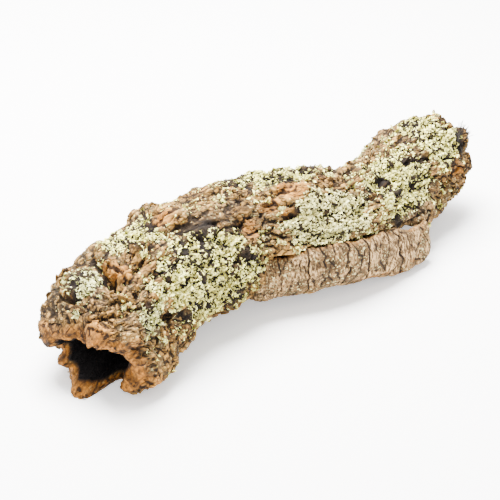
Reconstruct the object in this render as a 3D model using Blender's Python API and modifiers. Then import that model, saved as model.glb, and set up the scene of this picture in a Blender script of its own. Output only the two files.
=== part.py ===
"""A cork branch: a hollow, bent length of virgin cork bark with lichen growing on it.

The branch lies on the floor with its long way on X, its mouth at -X and its far end at +X.
A place on it is given by how far along it is, in metres from the mouth, and by the angle
round it, in degrees: 0 is the top, 90 the side at -Y, 180 the floor and 270 the side at +Y.
"""

import itertools
import math

import bmesh
import bpy
import numpy as np

MM = 0.001

# The branch's own line and girth, section by section: x, y and z of the centre,
# half the width and half the height, in millimetres.
SECTIONS_MM = (
    (-264, -31, 35, 52, 33),
    (-245, -24, 39, 54, 37),
    (-208, -8, 47, 56, 45),
    (-160, 6, 53, 56, 53),
    (-103, 11, 53, 54, 54),
    (-57, 6, 53, 52, 54),
    (-19, -7, 52, 51, 53),
    (20, -20, 51, 50, 52),
    (63, -21, 49, 48, 50),
    (114, -12, 47, 46, 48),
    (165, -3, 46, 45, 47),
    (214, 4, 46, 44, 46),
    (238, 8, 45, 41, 43),
)
FIRST_SECTION_ALONG = -21 * MM
BRANCH_LENGTH = 475 * MM

# Where the origin lies in the sections' own numbers, so that it is under the middle.
ORIGIN_MM = (-20.6, -5.6, 0.0)

WALL = 16 * MM
RIM_ROUNDING = 6 * MM

# The mouth's broken edge: angle round, how thick the wall is there, and how much further
# back its inner edge stands than its outer one (or forward, if negative), in millimetres.
MOUTH_EDGE = (
    (0, 27, 0),
    (12, 26, 4),
    (36, 27, 0),
    (60, 27, -7),
    (84, 23, -10),
    (108, 25, -2),
    (120, 23, 3),
    (132, 17, 6),
    (144, 13, 6),
    (156, 7, 2),
    (168, 6, 5),
    (180, 8, 20),
    (192, 11, 18),
    (204, 15, 10),
    (216, 18, 3),
    (240, 20, 0),
    (290, 19, 0),
    (312, 20, -5),
    (336, 27, -7),
)

# The forms that the bark has grown: along, round in degrees, half length, half width
# and height, in millimetres. A negative height is a hollow.
SWELLINGS = (
    (-2, 25, 20, 30, 7),      # brow over the mouth
    (38, 298, 42, 38, 13),    # back of the mouth
    (13, 132, 27, 23, 17),    # foot at the right of the mouth
    (-10, 322, 16, 18, -9),   # edge of the brow that curls down
    (-22, 206, 22, 16, 6),    # tongue at the left of the mouth
    (121, 322, 14, 15, 9),    # knob on the shoulder
    (120, 60, 60, 40, 5),     # near flank
    (68, 128, 24, 24, 8),     # flank behind the foot
    (155, 318, 58, 38, 10),   # far shoulder
    (245, 340, 60, 40, 7),    # hump halfway
    (353, 318, 20, 34, -9),   # waist before the head
    (436, 354, 40, 48, 8),    # head
    (430, 95, 40, 30, 4),     # cheek of the head
    (382, 108, 28, 24, 12),   # flank above the strip's free end
    (50, 325, 7, 16, -9),     # fold across the top, its far part
    (36, 350, 7, 15, -14),    # fold across the top, its near part
    (48, 354, 7, 18, 8),      # lip behind the fold
    (12, 322, 4, 10, -6),     # small split near the brow
    (470, 60, 10, 12, -7),    # pocket at the far rim
    (300, 15, 10, 14, -5),    # dimple
    (205, 200, 50, 40, -5),   # hollow under the belly
)

# How far the broken ends stand back (or forward, if negative) from a square cut:
# angle round, half width in degrees, and distance in millimetres.
MOUTH_BREAKS = (
    (18, 26, -9),
    (88, 24, 7),
    (134, 17, -8),
    (161, 12, 14),
    (195, 23, -31),
    (232, 16, -10),
    (256, 10, 8),
    (285, 26, -9),
)
MOUTH_FORWARD = 8 * MM
FAR_BREAKS = (
    (20, 42, 13),
    (80, 16, 9),
    (135, 24, -26),
    (200, 20, 10),
    (262, 14, -22),
    (320, 20, 7),
)

# The long crack in the side: where it starts and ends, and how far the bark below it is sunk.
CRACK_START = 190 * MM
CRACK_END = 440 * MM
CRACK_DEPTH = 14 * MM
CRACK_ANGLES = ((190, 82), (230, 78), (276, 75), (310, 84), (341, 98), (380, 112), (440, 118))

# The loose strip below the crack: along, then how far out and how high its top edge,
# its belly and its bottom edge are, in millimetres from the branch's centre line and the floor.
STRIP_MM = (
    (186, 40, 56, 46, 36, 32, 13),
    (205, 45, 59, 50, 36, 34, 12),
    (228, 46, 60, 51, 36, 36, 11),
    (252, 47, 61, 52, 36, 37, 10),
    (275, 48, 60, 53, 35, 39, 9),
    (298, 49, 54, 54, 30, 44, 8),
    (322, 50, 41, 57, 24, 54, 6),
    (345, 54, 33, 61, 22, 62, 5),
    (364, 56, 40, 62, 25, 64, 7),
)
STRIP_THICKNESS = 11 * MM
STRIP_RAGGEDNESS = 4 * MM
STRIP_ROWS = 90
STRIP_POINTS_ACROSS = 17

# Cracks across the strip: along, half width and depth, in millimetres.
STRIP_CRACKS_MM = (
    (214, 1.6, 2),
    (243, 2, 3.5),
    (256, 1.6, 2),
    (274, 2, 3.5),
    (291, 2, 3),
    (322, 2, 2.5),
)

COLUMNS_ROUND = 132
ROWS_OUTSIDE = 150
ROWS_INSIDE = 70
ROWS_ON_RIM = 5
BARK_TRIANGLES = 6000
BARK_GRAIN = 1.6 * MM

LICHEN_GAP = 0.4 * MM
LICHEN_THICKNESS = 4 * MM
LICHEN_EDGE = 0.3
LICHEN_RAGGEDNESS = 0.35
STEEPEST_UNDER_CRUST = 0.45

# Patches of lichen: name, along, round in degrees, half length and half width in millimetres.
LICHEN_PATCHES = (
    ("lichen_by_fold", 26, 334, 20, 17),
    ("lichen_at_mouth", 26, 56, 16, 18),
    ("lichen_on_shoulder", 88, 338, 26, 32),
    ("lichen_on_near_flank", 116, 68, 76, 54),
    ("lichen_on_ridge", 234, 342, 62, 22),
    ("lichen_along_crack", 266, 48, 46, 27),
    ("lichen_on_far_flank", 360, 42, 52, 42),
    ("lichen_on_head", 438, 22, 32, 40),
    ("lichen_behind", 165, 285, 54, 28),
    ("lichen_behind_head", 395, 290, 36, 24),
)

# The tuft of dark twigs at the far rim: name, along, round, half length and half width.
TUFT_PATCH = ("twig_tuft", 463, 30, 9, 10)
TUFT_HEIGHT = 9 * MM
TUFT_EDGE = 0.15


def clear_scene():
    for obj in list(bpy.data.objects):
        bpy.data.objects.remove(obj)


def collection_named(name):
    made = bpy.data.collections.new(name)
    bpy.context.scene.collection.children.link(made)
    return made


def finish_of(name, colour, roughness):
    """A matt material of one colour."""
    made = bpy.data.materials.new(name)
    made.use_nodes = True
    shader = made.node_tree.nodes["Principled BSDF"]
    shader.inputs["Base Color"].default_value = (*colour, 1.0)
    shader.inputs["Roughness"].default_value = roughness
    shader.inputs["Metallic"].default_value = 0.0
    return made


def object_from(name, vertices, faces, material, collection):
    mesh = bpy.data.meshes.new(name)
    mesh.from_pydata([tuple(v) for v in vertices], [], [tuple(f) for f in faces])
    mesh.validate()
    mesh.materials.append(material)
    made = bpy.data.objects.new(name, mesh)
    collection.objects.link(made)
    return made


def noise(points, size, seed):
    """Smooth gradient noise, about -1 to 1, with features of the given size."""
    place = points / np.asarray(size, float) + seed * 7.913
    cell = np.floor(place).astype(np.int64)
    part = place - cell
    fade = part**3 * (part * (part * 6 - 15) + 10)
    total = np.zeros(len(points))
    for corner in itertools.product((0, 1), repeat=3):
        at = cell + np.array(corner)
        mixed = (at[:, 0] * 73856093) ^ (at[:, 1] * 19349663) ^ (at[:, 2] * 83492791)
        mixed = (mixed ^ (mixed >> 13)) * 1274126177 & 0xFFFFFFFF
        mixed = (mixed ^ (mixed >> 16)) * 2246822519 & 0xFFFFFFFF
        slopes = [(mixed >> shift & 255) / 127.5 - 1 for shift in (0, 8, 16)]
        weight = np.ones(len(points))
        height = np.zeros(len(points))
        for axis in range(3):
            share = fade[:, axis]
            weight = weight * (share if corner[axis] else 1 - share)
            height = height + slopes[axis] * (part[:, axis] - corner[axis])
        total = total + weight * height
    return total * 1.4


def smooth_step(value, low, high):
    share = np.clip((value - low) / (high - low), 0, 1)
    return share * share * (3 - 2 * share)


def bump(distance):
    """1 at no distance, falling smoothly to nearly 0 at 2."""
    return np.exp(-distance * distance)


def plateau(distance):
    """1 near no distance, falling steeply about 1."""
    return np.exp(-(distance**4))


def angle_between(angle, other):
    """The turn from one angle to another, in degrees, -180 to 180."""
    return (angle - other + 180) % 360 - 180


def curve_through(knots, values, at):
    """A smooth curve through the values at the knots, read at each place in at."""
    slopes = np.gradient(values, knots, axis=0)
    index = np.clip(np.searchsorted(knots, at) - 1, 0, len(knots) - 2)
    span = (knots[index + 1] - knots[index])[:, None]
    share = (np.clip(at, knots[0], knots[-1]) - knots[index])[:, None] / span
    beyond = (at - np.clip(at, knots[0], knots[-1]))[:, None]
    cube, square = share**3, share**2
    inside = (
        (2 * cube - 3 * square + 1) * values[index]
        + (cube - 2 * square + share) * span * slopes[index]
        + (3 * square - 2 * cube) * values[index + 1]
        + (cube - square) * span * slopes[index + 1]
    )
    end_slope = np.where(beyond < 0, slopes[0], slopes[-1])
    return inside + beyond * end_slope * (np.arange(values.shape[1]) < 3)


SECTIONS = np.array(SECTIONS_MM, float) * MM
SECTIONS[:, :3] -= np.array(ORIGIN_MM) * MM
STEPS = np.linalg.norm(np.diff(SECTIONS[:, :3], axis=0), axis=1)
KNOTS = FIRST_SECTION_ALONG + np.concatenate([[0], np.cumsum(STEPS)])


def frame_at(along):
    """Centre, outward side at -Y, up, half width and half height at each distance along."""
    small = 1 * MM
    read = curve_through(KNOTS, SECTIONS, along)
    ahead = curve_through(KNOTS, SECTIONS, along + small)[:, :3]
    behind = curve_through(KNOTS, SECTIONS, along - small)[:, :3]
    forward = ahead - behind
    forward /= np.linalg.norm(forward, axis=1)[:, None]
    side = np.cross(forward, (0.0, 0.0, 1.0))
    side /= np.linalg.norm(side, axis=1)[:, None]
    return read[:, :3], side, np.cross(side, forward), read[:, 3], read[:, 4]


def plain_radius(angle, half_width, half_height):
    """The radius of the oval section at each angle."""
    turn = np.radians(angle)
    return 1 / np.sqrt((np.sin(turn) / half_width) ** 2 + (np.cos(turn) / half_height) ** 2)


def swelling(along, angle, radius):
    """The height that the grown forms add to the bark."""
    total = np.zeros(len(along))
    for at, turn, half_length, half_width, height in SWELLINGS:
        lengthways = (along - at * MM) / (half_length * MM)
        crossways = np.radians(angle_between(angle, turn)) * radius / (half_width * MM)
        total += height * MM * bump(np.hypot(lengthways, crossways))
    return total


def crack_angle(along):
    """The angle of the long crack, with a ragged edge."""
    table = np.array(CRACK_ANGLES, float)
    return np.interp(along, table[:, 0] * MM, table[:, 1]) + 1.5 * np.sin(along / (7 * MM))


def crack_sinking(along, angle):
    """How far the bark is sunk below the crack, with a steep edge under its lip."""
    lengthways = smooth_step(along, CRACK_START, CRACK_START + 25 * MM)
    lengthways = lengthways * (1 - smooth_step(along, CRACK_END - 50 * MM, CRACK_END))
    below = angle_between(angle, crack_angle(along))
    crossways = smooth_step(below, -1.5, 2.5) * (1 - smooth_step(below, 30, 70))
    return CRACK_DEPTH * lengthways * crossways


def terraces(height, steps):
    """The height in flat steps with steep edges, as bark flakes off in layers."""
    scaled = height * steps
    level = np.floor(scaled)
    return (level + smooth_step(scaled - level, 0.55, 0.95)) / steps


def relief(straight):
    """Plates, ledges and furrows of the bark, on the branch laid out straight."""
    lumps = noise(straight, (55 * MM, 34 * MM, 34 * MM), 3)
    plates = noise(straight, (38 * MM, 21 * MM, 21 * MM), 11)
    plates = plates + 0.45 * noise(straight, (15 * MM, 10 * MM, 10 * MM), 12)
    furrows = 1 - np.abs(noise(straight, (60 * MM, 17 * MM, 17 * MM), 21)) * 3
    furrows = np.clip(furrows, 0, 1) ** 2
    return 3.5 * MM * lumps + 5.5 * MM * terraces(plates, 2.2) - 3 * MM * furrows


def straightened(along, angle, radius):
    turn = np.radians(angle)
    return np.stack([along, radius * np.sin(turn), radius * np.cos(turn)], axis=1)


def mouth_edge(angle, column):
    """One of the measures of the mouth's edge, in metres, at each angle."""
    table = np.array(MOUTH_EDGE, float)
    return np.interp(angle, table[:, 0], table[:, column] * MM, period=360)


def wall_at(along, angle):
    """The wall's thickness, which differs round the mouth and evens out further in."""
    at_mouth = mouth_edge(angle, 1)
    near_mouth = 1 - smooth_step(along, 10 * MM, 70 * MM)
    return WALL + near_mouth * (at_mouth - WALL)


def bark_points(along, angle, inward):
    """Points of the bark, from its outer face (inward 0) to its inner face (inward 1)."""
    centre, side, up, half_width, half_height = frame_at(along)
    radius = plain_radius(angle, half_width, half_height)
    straight = straightened(along, angle, radius)
    grown = swelling(along, angle, radius)
    outer = radius + grown + relief(straight) - crack_sinking(along, angle)
    inner = radius + 0.55 * grown - 0.35 * np.clip(grown, None, 0)
    inner = inner - wall_at(along, angle) - 0.45 * crack_sinking(along, angle)
    inner = inner + 1.5 * MM * noise(straight, (50 * MM, 14 * MM, 14 * MM), 31)
    inner = np.minimum(inner, outer - 5 * MM)
    reach = (outer * (1 - inward) + inner * inward)[:, None]
    turn = np.radians(angle)[:, None]
    return centre + reach * (side * np.sin(turn) + up * np.cos(turn))


def broken_end(angle, breaks, seed):
    """How far a broken end stands back from a square cut at each angle."""
    turn = np.radians(angle)
    ring = np.stack([np.sin(turn), np.cos(turn), np.zeros(len(turn))], axis=1)
    total = 3 * MM * noise(ring, 0.35, seed) + 2 * MM * noise(ring, 0.13, seed + 1)
    for at, half_width, distance in breaks:
        total += distance * MM * plateau(angle_between(angle, at) / half_width)
    return total


def loop_rows():
    """How far along and how far inward each row of a column is, out to the far end and back."""
    outside = [(share, 0.0) for share in np.linspace(0, 1, ROWS_OUTSIDE)]
    inside = [(share, 1.0) for share in np.linspace(1, 0, ROWS_INSIDE)]
    rim = np.linspace(0, 1, ROWS_ON_RIM + 2)[1:-1]
    far_rim = [(1.0, share) for share in rim]
    near_rim = [(0.0, 1 - share) for share in rim]
    return outside + far_rim + inside + near_rim


def bark_sheet():
    """Vertices and faces of the bark: a column of rows at each angle, closed both ways."""
    rows = np.array(loop_rows())
    angles = np.arange(COLUMNS_ROUND) * 360 / COLUMNS_ROUND
    angle = np.repeat(angles, len(rows))
    share = np.tile(rows[:, 0], COLUMNS_ROUND)
    inward = np.tile(rows[:, 1], COLUMNS_ROUND)
    mouth = np.repeat(broken_end(angles, MOUTH_BREAKS, 41) - MOUTH_FORWARD, len(rows))
    mouth = mouth + mouth_edge(angle, 2) * inward
    far = np.repeat(broken_end(angles, FAR_BREAKS, 51), len(rows))
    rounding = RIM_ROUNDING * (1 - np.sin(math.pi * inward)) * (1 - 2 * share)
    on_end = (share < 1e-9) | (share > 1 - 1e-9)
    along = BRANCH_LENGTH * share + mouth * (1 - share) ** 4 + far * share**4
    along = along + np.where(on_end, rounding, RIM_ROUNDING * (1 - 2 * share))
    points = bark_points(along, angle, inward)
    count = len(rows)
    faces = []
    for column in range(COLUMNS_ROUND):
        here = column * count
        there = (column + 1) % COLUMNS_ROUND * count
        for row in range(count):
            after = (row + 1) % count
            faces.append((here + row, here + after, there + after, there + row))
    return points, faces


def strip_chipping(along, height):
    """How far the strip's outer face stands out or in: chips, and cracks across it."""
    place = np.stack([along, height, height * 0], axis=1)
    total = 1.6 * MM * noise(place, (24 * MM, 12 * MM, 1.0), 61)
    wander = 2 * MM * noise(place, (40 * MM, 14 * MM, 1.0), 64)
    for at, half_width, depth in STRIP_CRACKS_MM:
        total -= depth * MM * bump((along + wander - at * MM) / (half_width * MM))
    return total


def strip_section(top, belly, bottom, half_thickness):
    """One rounded section of the strip, as out and up: its outer face, then its inner face."""
    across = np.linspace(0, 1, STRIP_POINTS_ACROSS)
    weights = ((1 - across) ** 2, 2 * across * (1 - across), across**2)
    handle = 2 * belly - (top + bottom) / 2
    spine = sum(np.outer(weight, point) for weight, point in zip(weights, (top, handle, bottom)))
    run = np.gradient(spine, axis=0)
    run /= np.linalg.norm(run, axis=1)[:, None]
    outward = np.stack([-run[:, 1], run[:, 0]], axis=1)
    roundness = np.sqrt(np.clip(1 - (2 * across - 1) ** 8, 0.08, 1))[:, None]
    offset = outward * half_thickness * roundness
    return np.concatenate([spine + offset, (spine - offset)[::-1]])


def strip_sheet():
    """Vertices and faces of the loose strip: rounded sections strung along the branch."""
    table = np.array(STRIP_MM, float) * MM
    along = np.linspace(table[0, 0], table[-1, 0], STRIP_ROWS)
    read = curve_through(table[:, 0], table[:, 1:], along)
    centre, side, _, _, _ = frame_at(along)
    edge_line = np.stack([along, along * 0, along * 0], axis=1)
    read[:, 1] += STRIP_RAGGEDNESS * noise(edge_line, 11 * MM, 62)
    read[:, 5] += STRIP_RAGGEDNESS * noise(edge_line, 16 * MM, 63)
    rings = []
    for row in range(STRIP_ROWS):
        from_end = min(row, STRIP_ROWS - 1 - row) / STRIP_ROWS
        half_thickness = STRIP_THICKNESS / 2 * math.sqrt(min(1, 0.25 + 20 * from_end))
        section = strip_section(read[row, 0:2], read[row, 2:4], read[row, 4:6], half_thickness)
        chipping = strip_chipping(np.full(len(section), along[row]), section[:, 1])
        chipping[STRIP_POINTS_ACROSS:] = 0
        place = np.outer(section[:, 0] + chipping, side[row]) + centre[row] * (1, 1, 0)
        place[:, 2] += section[:, 1] - ORIGIN_MM[2] * MM
        rings.append(place)
    points = np.concatenate(rings)
    ring = 2 * STRIP_POINTS_ACROSS
    faces = []
    for row in range(STRIP_ROWS - 1):
        for step in range(ring):
            after = (step + 1) % ring
            here, there = row * ring, (row + 1) * ring
            faces.append((here + step, there + step, there + after, here + after))
    faces.append(tuple(range(ring)))
    faces.append(tuple(reversed(range((STRIP_ROWS - 1) * ring, STRIP_ROWS * ring))))
    return points, faces


def boolean(target, other, operation):
    made = target.modifiers.new(operation.lower(), "BOOLEAN")
    made.operation = operation
    made.object = other


def as_helper(obj):
    obj.hide_render = True
    obj.display_type = "WIRE"


def outward_normals(obj):
    shape = bmesh.new()
    shape.from_mesh(obj.data)
    bmesh.ops.recalc_face_normals(shape, faces=shape.faces)
    if shape.calc_volume(signed=True) < 0:
        bmesh.ops.reverse_faces(shape, faces=shape.faces)
    shape.to_mesh(obj.data)
    shape.free()


def floor_cutter(collection):
    size = 1.0
    bpy.ops.mesh.primitive_cube_add(size=size, location=(0, 0, -size / 2))
    cutter = bpy.context.object
    cutter.name = "floor_cutter"
    for home in list(cutter.users_collection):
        home.objects.unlink(cutter)
    collection.objects.link(cutter)
    as_helper(cutter)
    return cutter


def evaluated_copy(obj):
    graph = bpy.context.evaluated_depsgraph_get()
    return bpy.data.meshes.new_from_object(obj.evaluated_get(graph))


def build_bark(parts, helpers, material):
    """The bark: tube and strip in one, thinned to fewer faces and flat where it meets the floor."""
    points, faces = bark_sheet()
    bark = object_from("bark", points, faces, material, parts)
    outward_normals(bark)
    strip_points, strip_faces = strip_sheet()
    strip = object_from("strip", strip_points, strip_faces, material, helpers)
    outward_normals(strip)
    as_helper(strip)
    boolean(bark, strip, "UNION")
    even = bark.modifiers.new("even", "REMESH")
    even.mode = "VOXEL"
    even.voxel_size = BARK_GRAIN
    bpy.context.view_layer.update()
    joined = evaluated_copy(bark)
    joined.calc_loop_triangles()
    thin = bark.modifiers.new("thin", "DECIMATE")
    thin.ratio = BARK_TRIANGLES / len(joined.loop_triangles)
    thin.use_collapse_triangulate = True
    bpy.data.meshes.remove(joined)
    boolean(bark, floor_cutter(helpers), "DIFFERENCE")
    return bark


def places_of(points):
    """Along and round of each point, from the nearest place on the centre line."""
    samples = np.arange(-40 * MM, BRANCH_LENGTH + 40 * MM, 1.5 * MM)
    centre, side, up, _, _ = frame_at(samples)
    along = np.empty(len(points))
    angle = np.empty(len(points))
    for index, point in enumerate(points):
        nearest = np.argmin(np.linalg.norm(centre - point, axis=1))
        offset = point - centre[nearest]
        along[index] = samples[nearest]
        angle[index] = math.degrees(math.atan2(offset @ side[nearest], offset @ up[nearest]))
    return along, angle % 360


def outward_share(points, normals, along):
    """How far each normal points away from the centre line, from -1 to 1."""
    centre, _, _, _, _ = frame_at(along)
    away = points - centre
    away /= np.linalg.norm(away, axis=1)[:, None]
    return (away * normals).sum(axis=1)


def stands_open(face):
    """Whether the bark beside each corner of the face falls away or rises only gently."""
    for vertex in face.verts:
        if min(vertex.normal.dot(other.normal) for other in vertex.link_faces) < STEEPEST_UNDER_CRUST:
            return False
    return True


def faces_in_patch(shape, patch, taken):
    """The outer faces of the bark inside an oval patch with a ragged edge, clear of taken corners."""
    _, patch_along, patch_angle, half_length, half_width = patch
    middles = np.array([face.calc_center_median() for face in shape.faces])
    normals = np.array([face.normal for face in shape.faces])
    along, angle = places_of(middles)
    outward = outward_share(middles, normals, along)
    lengthways = (along - patch_along * MM) / (half_length * MM)
    girth = np.interp(along, KNOTS, SECTIONS[:, 3])
    crossways = np.radians(angle_between(angle, patch_angle)) * girth / (half_width * MM)
    ragged = LICHEN_RAGGEDNESS * noise(middles, 14 * MM, 71)
    inside = (np.hypot(lengthways, crossways) + ragged < 1) & (outward > 0.3)
    chosen = [face for face, within in zip(shape.faces, inside) if within and stands_open(face)]
    return {face for face in chosen if not taken & {tuple(vertex.co) for vertex in face.verts}}


def largest_island(faces):
    """The largest set of these faces that hangs together by edges."""
    left = set(faces)
    best = set()
    while left:
        reached = {left.pop()}
        edge_of_search = list(reached)
        while edge_of_search:
            face = edge_of_search.pop()
            for edge in face.edges:
                for other in edge.link_faces:
                    if other in left:
                        left.remove(other)
                        reached.add(other)
                        edge_of_search.append(other)
        if len(reached) > len(best):
            best = reached
    return best


def pinched_corners(faces):
    """Vertices where these faces meet only at a point, or that have more than one open side."""
    found = []
    for vertex in {vertex for face in faces for vertex in face.verts}:
        open_edges = 0
        for edge in vertex.link_edges:
            open_edges += sum(face in faces for face in edge.link_faces) == 1
        if open_edges > 2:
            found.append(vertex)
    return found


def patch_without_pinches(faces):
    """The largest island of the faces, with the faces at pinched corners left out."""
    kept = largest_island(faces)
    pinched = pinched_corners(kept)
    while pinched:
        for vertex in pinched:
            kept -= set(vertex.link_faces)
        kept = largest_island(kept)
        pinched = pinched_corners(kept)
    return kept


def build_crust(bark_mesh, patch, taken, height, edge_share, material, collection):
    """A crust on the bark: the bark's own faces in the patch, lifted clear and thickened.

    It leaves out faces with a corner in taken, and adds its own corners to it.
    """
    shape = bmesh.new()
    shape.from_mesh(bark_mesh)
    outward = shape.verts.layers.float_vector.new("outward")
    for vertex in shape.verts:
        vertex[outward] = vertex.normal
    kept = patch_without_pinches(faces_in_patch(shape, patch, taken))
    taken.update(tuple(vertex.co) for face in kept for vertex in face.verts)
    dropped = [face for face in shape.faces if face not in kept]
    bmesh.ops.delete(shape, geom=dropped, context="FACES")
    rim = {vertex for edge in shape.edges if edge.is_boundary for vertex in edge.verts}
    rim_places = {tuple(vertex.co) for vertex in rim}
    raised = bmesh.ops.extrude_face_region(shape, geom=shape.faces[:], use_keep_orig=True)
    tops = {item for item in raised["geom"] if isinstance(item, bmesh.types.BMVert)}
    for vertex in shape.verts:
        lift = LICHEN_GAP
        if vertex in tops:
            lift += height * (edge_share if tuple(vertex.co) in rim_places else 1)
        vertex.co += vertex[outward] * lift
    bmesh.ops.recalc_face_normals(shape, faces=shape.faces)
    mesh = bpy.data.meshes.new(patch[0])
    shape.to_mesh(mesh)
    shape.free()
    mesh.attributes.remove(mesh.attributes["outward"])
    mesh.materials.clear()
    mesh.materials.append(material)
    crust = bpy.data.objects.new(patch[0], mesh)
    collection.objects.link(crust)
    return crust


def main():
    clear_scene()
    parts = collection_named("cork branch")
    helpers = collection_named("helpers")
    cork = finish_of("cork", (0.36, 0.22, 0.12), 0.9)
    lichen = finish_of("lichen", (0.62, 0.66, 0.42), 0.95)
    twigs = finish_of("twigs", (0.03, 0.025, 0.02), 0.9)
    bark = build_bark(parts, helpers, cork)
    bpy.context.view_layer.update()
    surface = evaluated_copy(bark)
    taken = set()
    build_crust(surface, TUFT_PATCH, taken, TUFT_HEIGHT, TUFT_EDGE, twigs, parts)
    for patch in LICHEN_PATCHES:
        build_crust(surface, patch, taken, LICHEN_THICKNESS, LICHEN_EDGE, lichen, parts)


main()
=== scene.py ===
"""Dresses the cork branch: the bark in full relief, its lichen, its tuft of twigs and a pale stage.

A place on the branch is given by how far along it is, in metres from the mouth, and by the
angle round it, in degrees: 0 is the top, 90 the side at -Y, 180 the floor and 270 the side
at +Y.
"""

import functools
import itertools
import math

import bmesh
import bpy
import numpy as np
from bpy.props import FloatProperty, FloatVectorProperty, IntProperty, PointerProperty
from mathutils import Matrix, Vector


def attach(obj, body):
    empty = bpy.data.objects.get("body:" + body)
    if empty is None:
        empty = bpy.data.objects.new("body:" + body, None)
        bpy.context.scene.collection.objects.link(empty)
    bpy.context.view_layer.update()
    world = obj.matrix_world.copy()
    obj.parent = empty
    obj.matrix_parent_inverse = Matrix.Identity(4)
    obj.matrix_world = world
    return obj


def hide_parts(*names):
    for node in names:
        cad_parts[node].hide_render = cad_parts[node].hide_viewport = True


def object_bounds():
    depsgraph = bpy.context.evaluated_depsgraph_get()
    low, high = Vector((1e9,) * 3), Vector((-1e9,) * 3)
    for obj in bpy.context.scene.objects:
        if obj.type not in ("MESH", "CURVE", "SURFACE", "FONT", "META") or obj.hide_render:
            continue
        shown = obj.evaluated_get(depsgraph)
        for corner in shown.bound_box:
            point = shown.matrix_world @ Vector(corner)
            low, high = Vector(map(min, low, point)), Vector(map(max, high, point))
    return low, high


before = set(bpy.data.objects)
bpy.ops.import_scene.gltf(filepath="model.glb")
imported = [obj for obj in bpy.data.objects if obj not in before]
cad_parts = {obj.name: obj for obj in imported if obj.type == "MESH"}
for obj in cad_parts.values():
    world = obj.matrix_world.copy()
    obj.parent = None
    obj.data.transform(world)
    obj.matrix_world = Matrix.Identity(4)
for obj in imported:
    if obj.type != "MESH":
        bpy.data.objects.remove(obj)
CAD_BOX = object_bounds()

bl_info = {
    "name": "Cork branch",
    "version": (1, 0, 0),
    "blender": (4, 5, 0),
    "location": "View3D > Sidebar > Cork branch",
    "description": "Makes a hollow cork branch with lichen on it",
    "category": "Object",
}

MM = 0.001

# The branch's own line and girth, section by section: x, y and z of the centre,
# half the width and half the height, in millimetres.
SECTIONS_MM = (
    (-264, -31, 35, 52, 33),
    (-245, -24, 39, 54, 37),
    (-208, -8, 47, 56, 45),
    (-160, 6, 53, 56, 53),
    (-103, 11, 53, 54, 54),
    (-57, 6, 53, 52, 54),
    (-19, -7, 52, 51, 53),
    (20, -20, 51, 50, 52),
    (63, -21, 49, 48, 50),
    (114, -12, 47, 46, 48),
    (165, -3, 46, 45, 47),
    (214, 4, 46, 44, 46),
    (238, 8, 45, 41, 43),
)
FIRST_SECTION_ALONG = -21 * MM
BRANCH_LENGTH = 475 * MM

# Where the origin lies in the sections' own numbers, so that it is under the middle.
ORIGIN_MM = (-20.6, -5.6, 0.0)

WALL = 16 * MM
THINNEST_WALL = 5 * MM
RIM_ROUNDING = 6 * MM

# Where the mouth's own wall begins to give way to the plain one, and where it ends.
MOUTH_WALL_FROM = 10 * MM
MOUTH_WALL_TO = 70 * MM

# The bark's large relief.
LUMP_HEIGHT = 3.5 * MM
LEDGE_HEIGHT = 5.5 * MM
FURROW_DEPTH = 3 * MM

# The bark's small relief: plates, steps and crumbs on the branch, layers and lobes at its mouth.
PLATE_HEIGHT = 3.0 * MM
SMALL_PLATE_HEIGHT = 0.9 * MM
STEP_HEIGHT = 2.8 * MM
LAYER_HEIGHT = 2.2 * MM
LOBE_HEIGHT = 3.0 * MM
CRUMB_HEIGHT = 0.5 * MM

# Where the layers of the mouth begin to give way to the plates, and where they end.
MOUTH_LAYERS_FROM = 34 * MM
MOUTH_LAYERS_TO = 62 * MM

# The mouth's broken edge: angle round, how thick the wall is there, and how much further
# back its inner edge stands than its outer one (or forward, if negative), in millimetres.
MOUTH_EDGE = (
    (0, 27, 0),
    (12, 26, 4),
    (36, 27, 0),
    (60, 27, -7),
    (84, 23, -10),
    (108, 25, -2),
    (120, 23, 3),
    (132, 17, 6),
    (144, 13, 6),
    (156, 7, 2),
    (168, 6, 5),
    (180, 8, 20),
    (192, 11, 18),
    (204, 15, 10),
    (216, 18, 3),
    (240, 20, 0),
    (290, 19, 0),
    (312, 20, -5),
    (336, 27, -7),
)

# The forms that the bark has grown: along, round in degrees, half length, half width
# and height, in millimetres. A negative height is a hollow.
SWELLINGS = (
    (-2, 25, 20, 30, 7),      # brow over the mouth
    (38, 298, 42, 38, 13),    # back of the mouth
    (13, 132, 27, 23, 17),    # foot at the right of the mouth
    (-10, 322, 16, 18, -9),   # edge of the brow that curls down
    (-22, 206, 22, 16, 6),    # tongue at the left of the mouth
    (121, 322, 14, 15, 9),    # knob on the shoulder
    (120, 60, 60, 40, 5),     # near flank
    (68, 128, 24, 24, 8),     # flank behind the foot
    (155, 318, 58, 38, 10),   # far shoulder
    (245, 340, 60, 40, 7),    # hump halfway
    (353, 318, 20, 34, -9),   # waist before the head
    (436, 354, 40, 48, 8),    # head
    (430, 95, 40, 30, 4),     # cheek of the head
    (382, 108, 28, 24, 12),   # flank above the strip's free end
    (50, 325, 7, 16, -9),     # fold across the top, its far part
    (36, 350, 7, 15, -14),    # fold across the top, its near part
    (48, 354, 7, 18, 8),      # lip behind the fold
    (12, 322, 4, 10, -6),     # small split near the brow
    (470, 60, 10, 12, -7),    # pocket at the far rim
    (300, 15, 10, 14, -5),    # dimple
    (205, 200, 50, 40, -5),   # hollow under the belly
)

# How far the broken ends stand back (or forward, if negative) from a square cut:
# angle round, half width in degrees, and distance in millimetres.
MOUTH_BREAKS = (
    (18, 26, -9),
    (88, 24, 7),
    (134, 17, -8),
    (161, 12, 14),
    (195, 23, -31),
    (232, 16, -10),
    (256, 10, 8),
    (285, 26, -9),
)
MOUTH_FORWARD = 8 * MM
FAR_BREAKS = (
    (20, 42, 13),
    (80, 16, 9),
    (135, 24, -26),
    (200, 20, 10),
    (262, 14, -22),
    (320, 20, 7),
)

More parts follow.
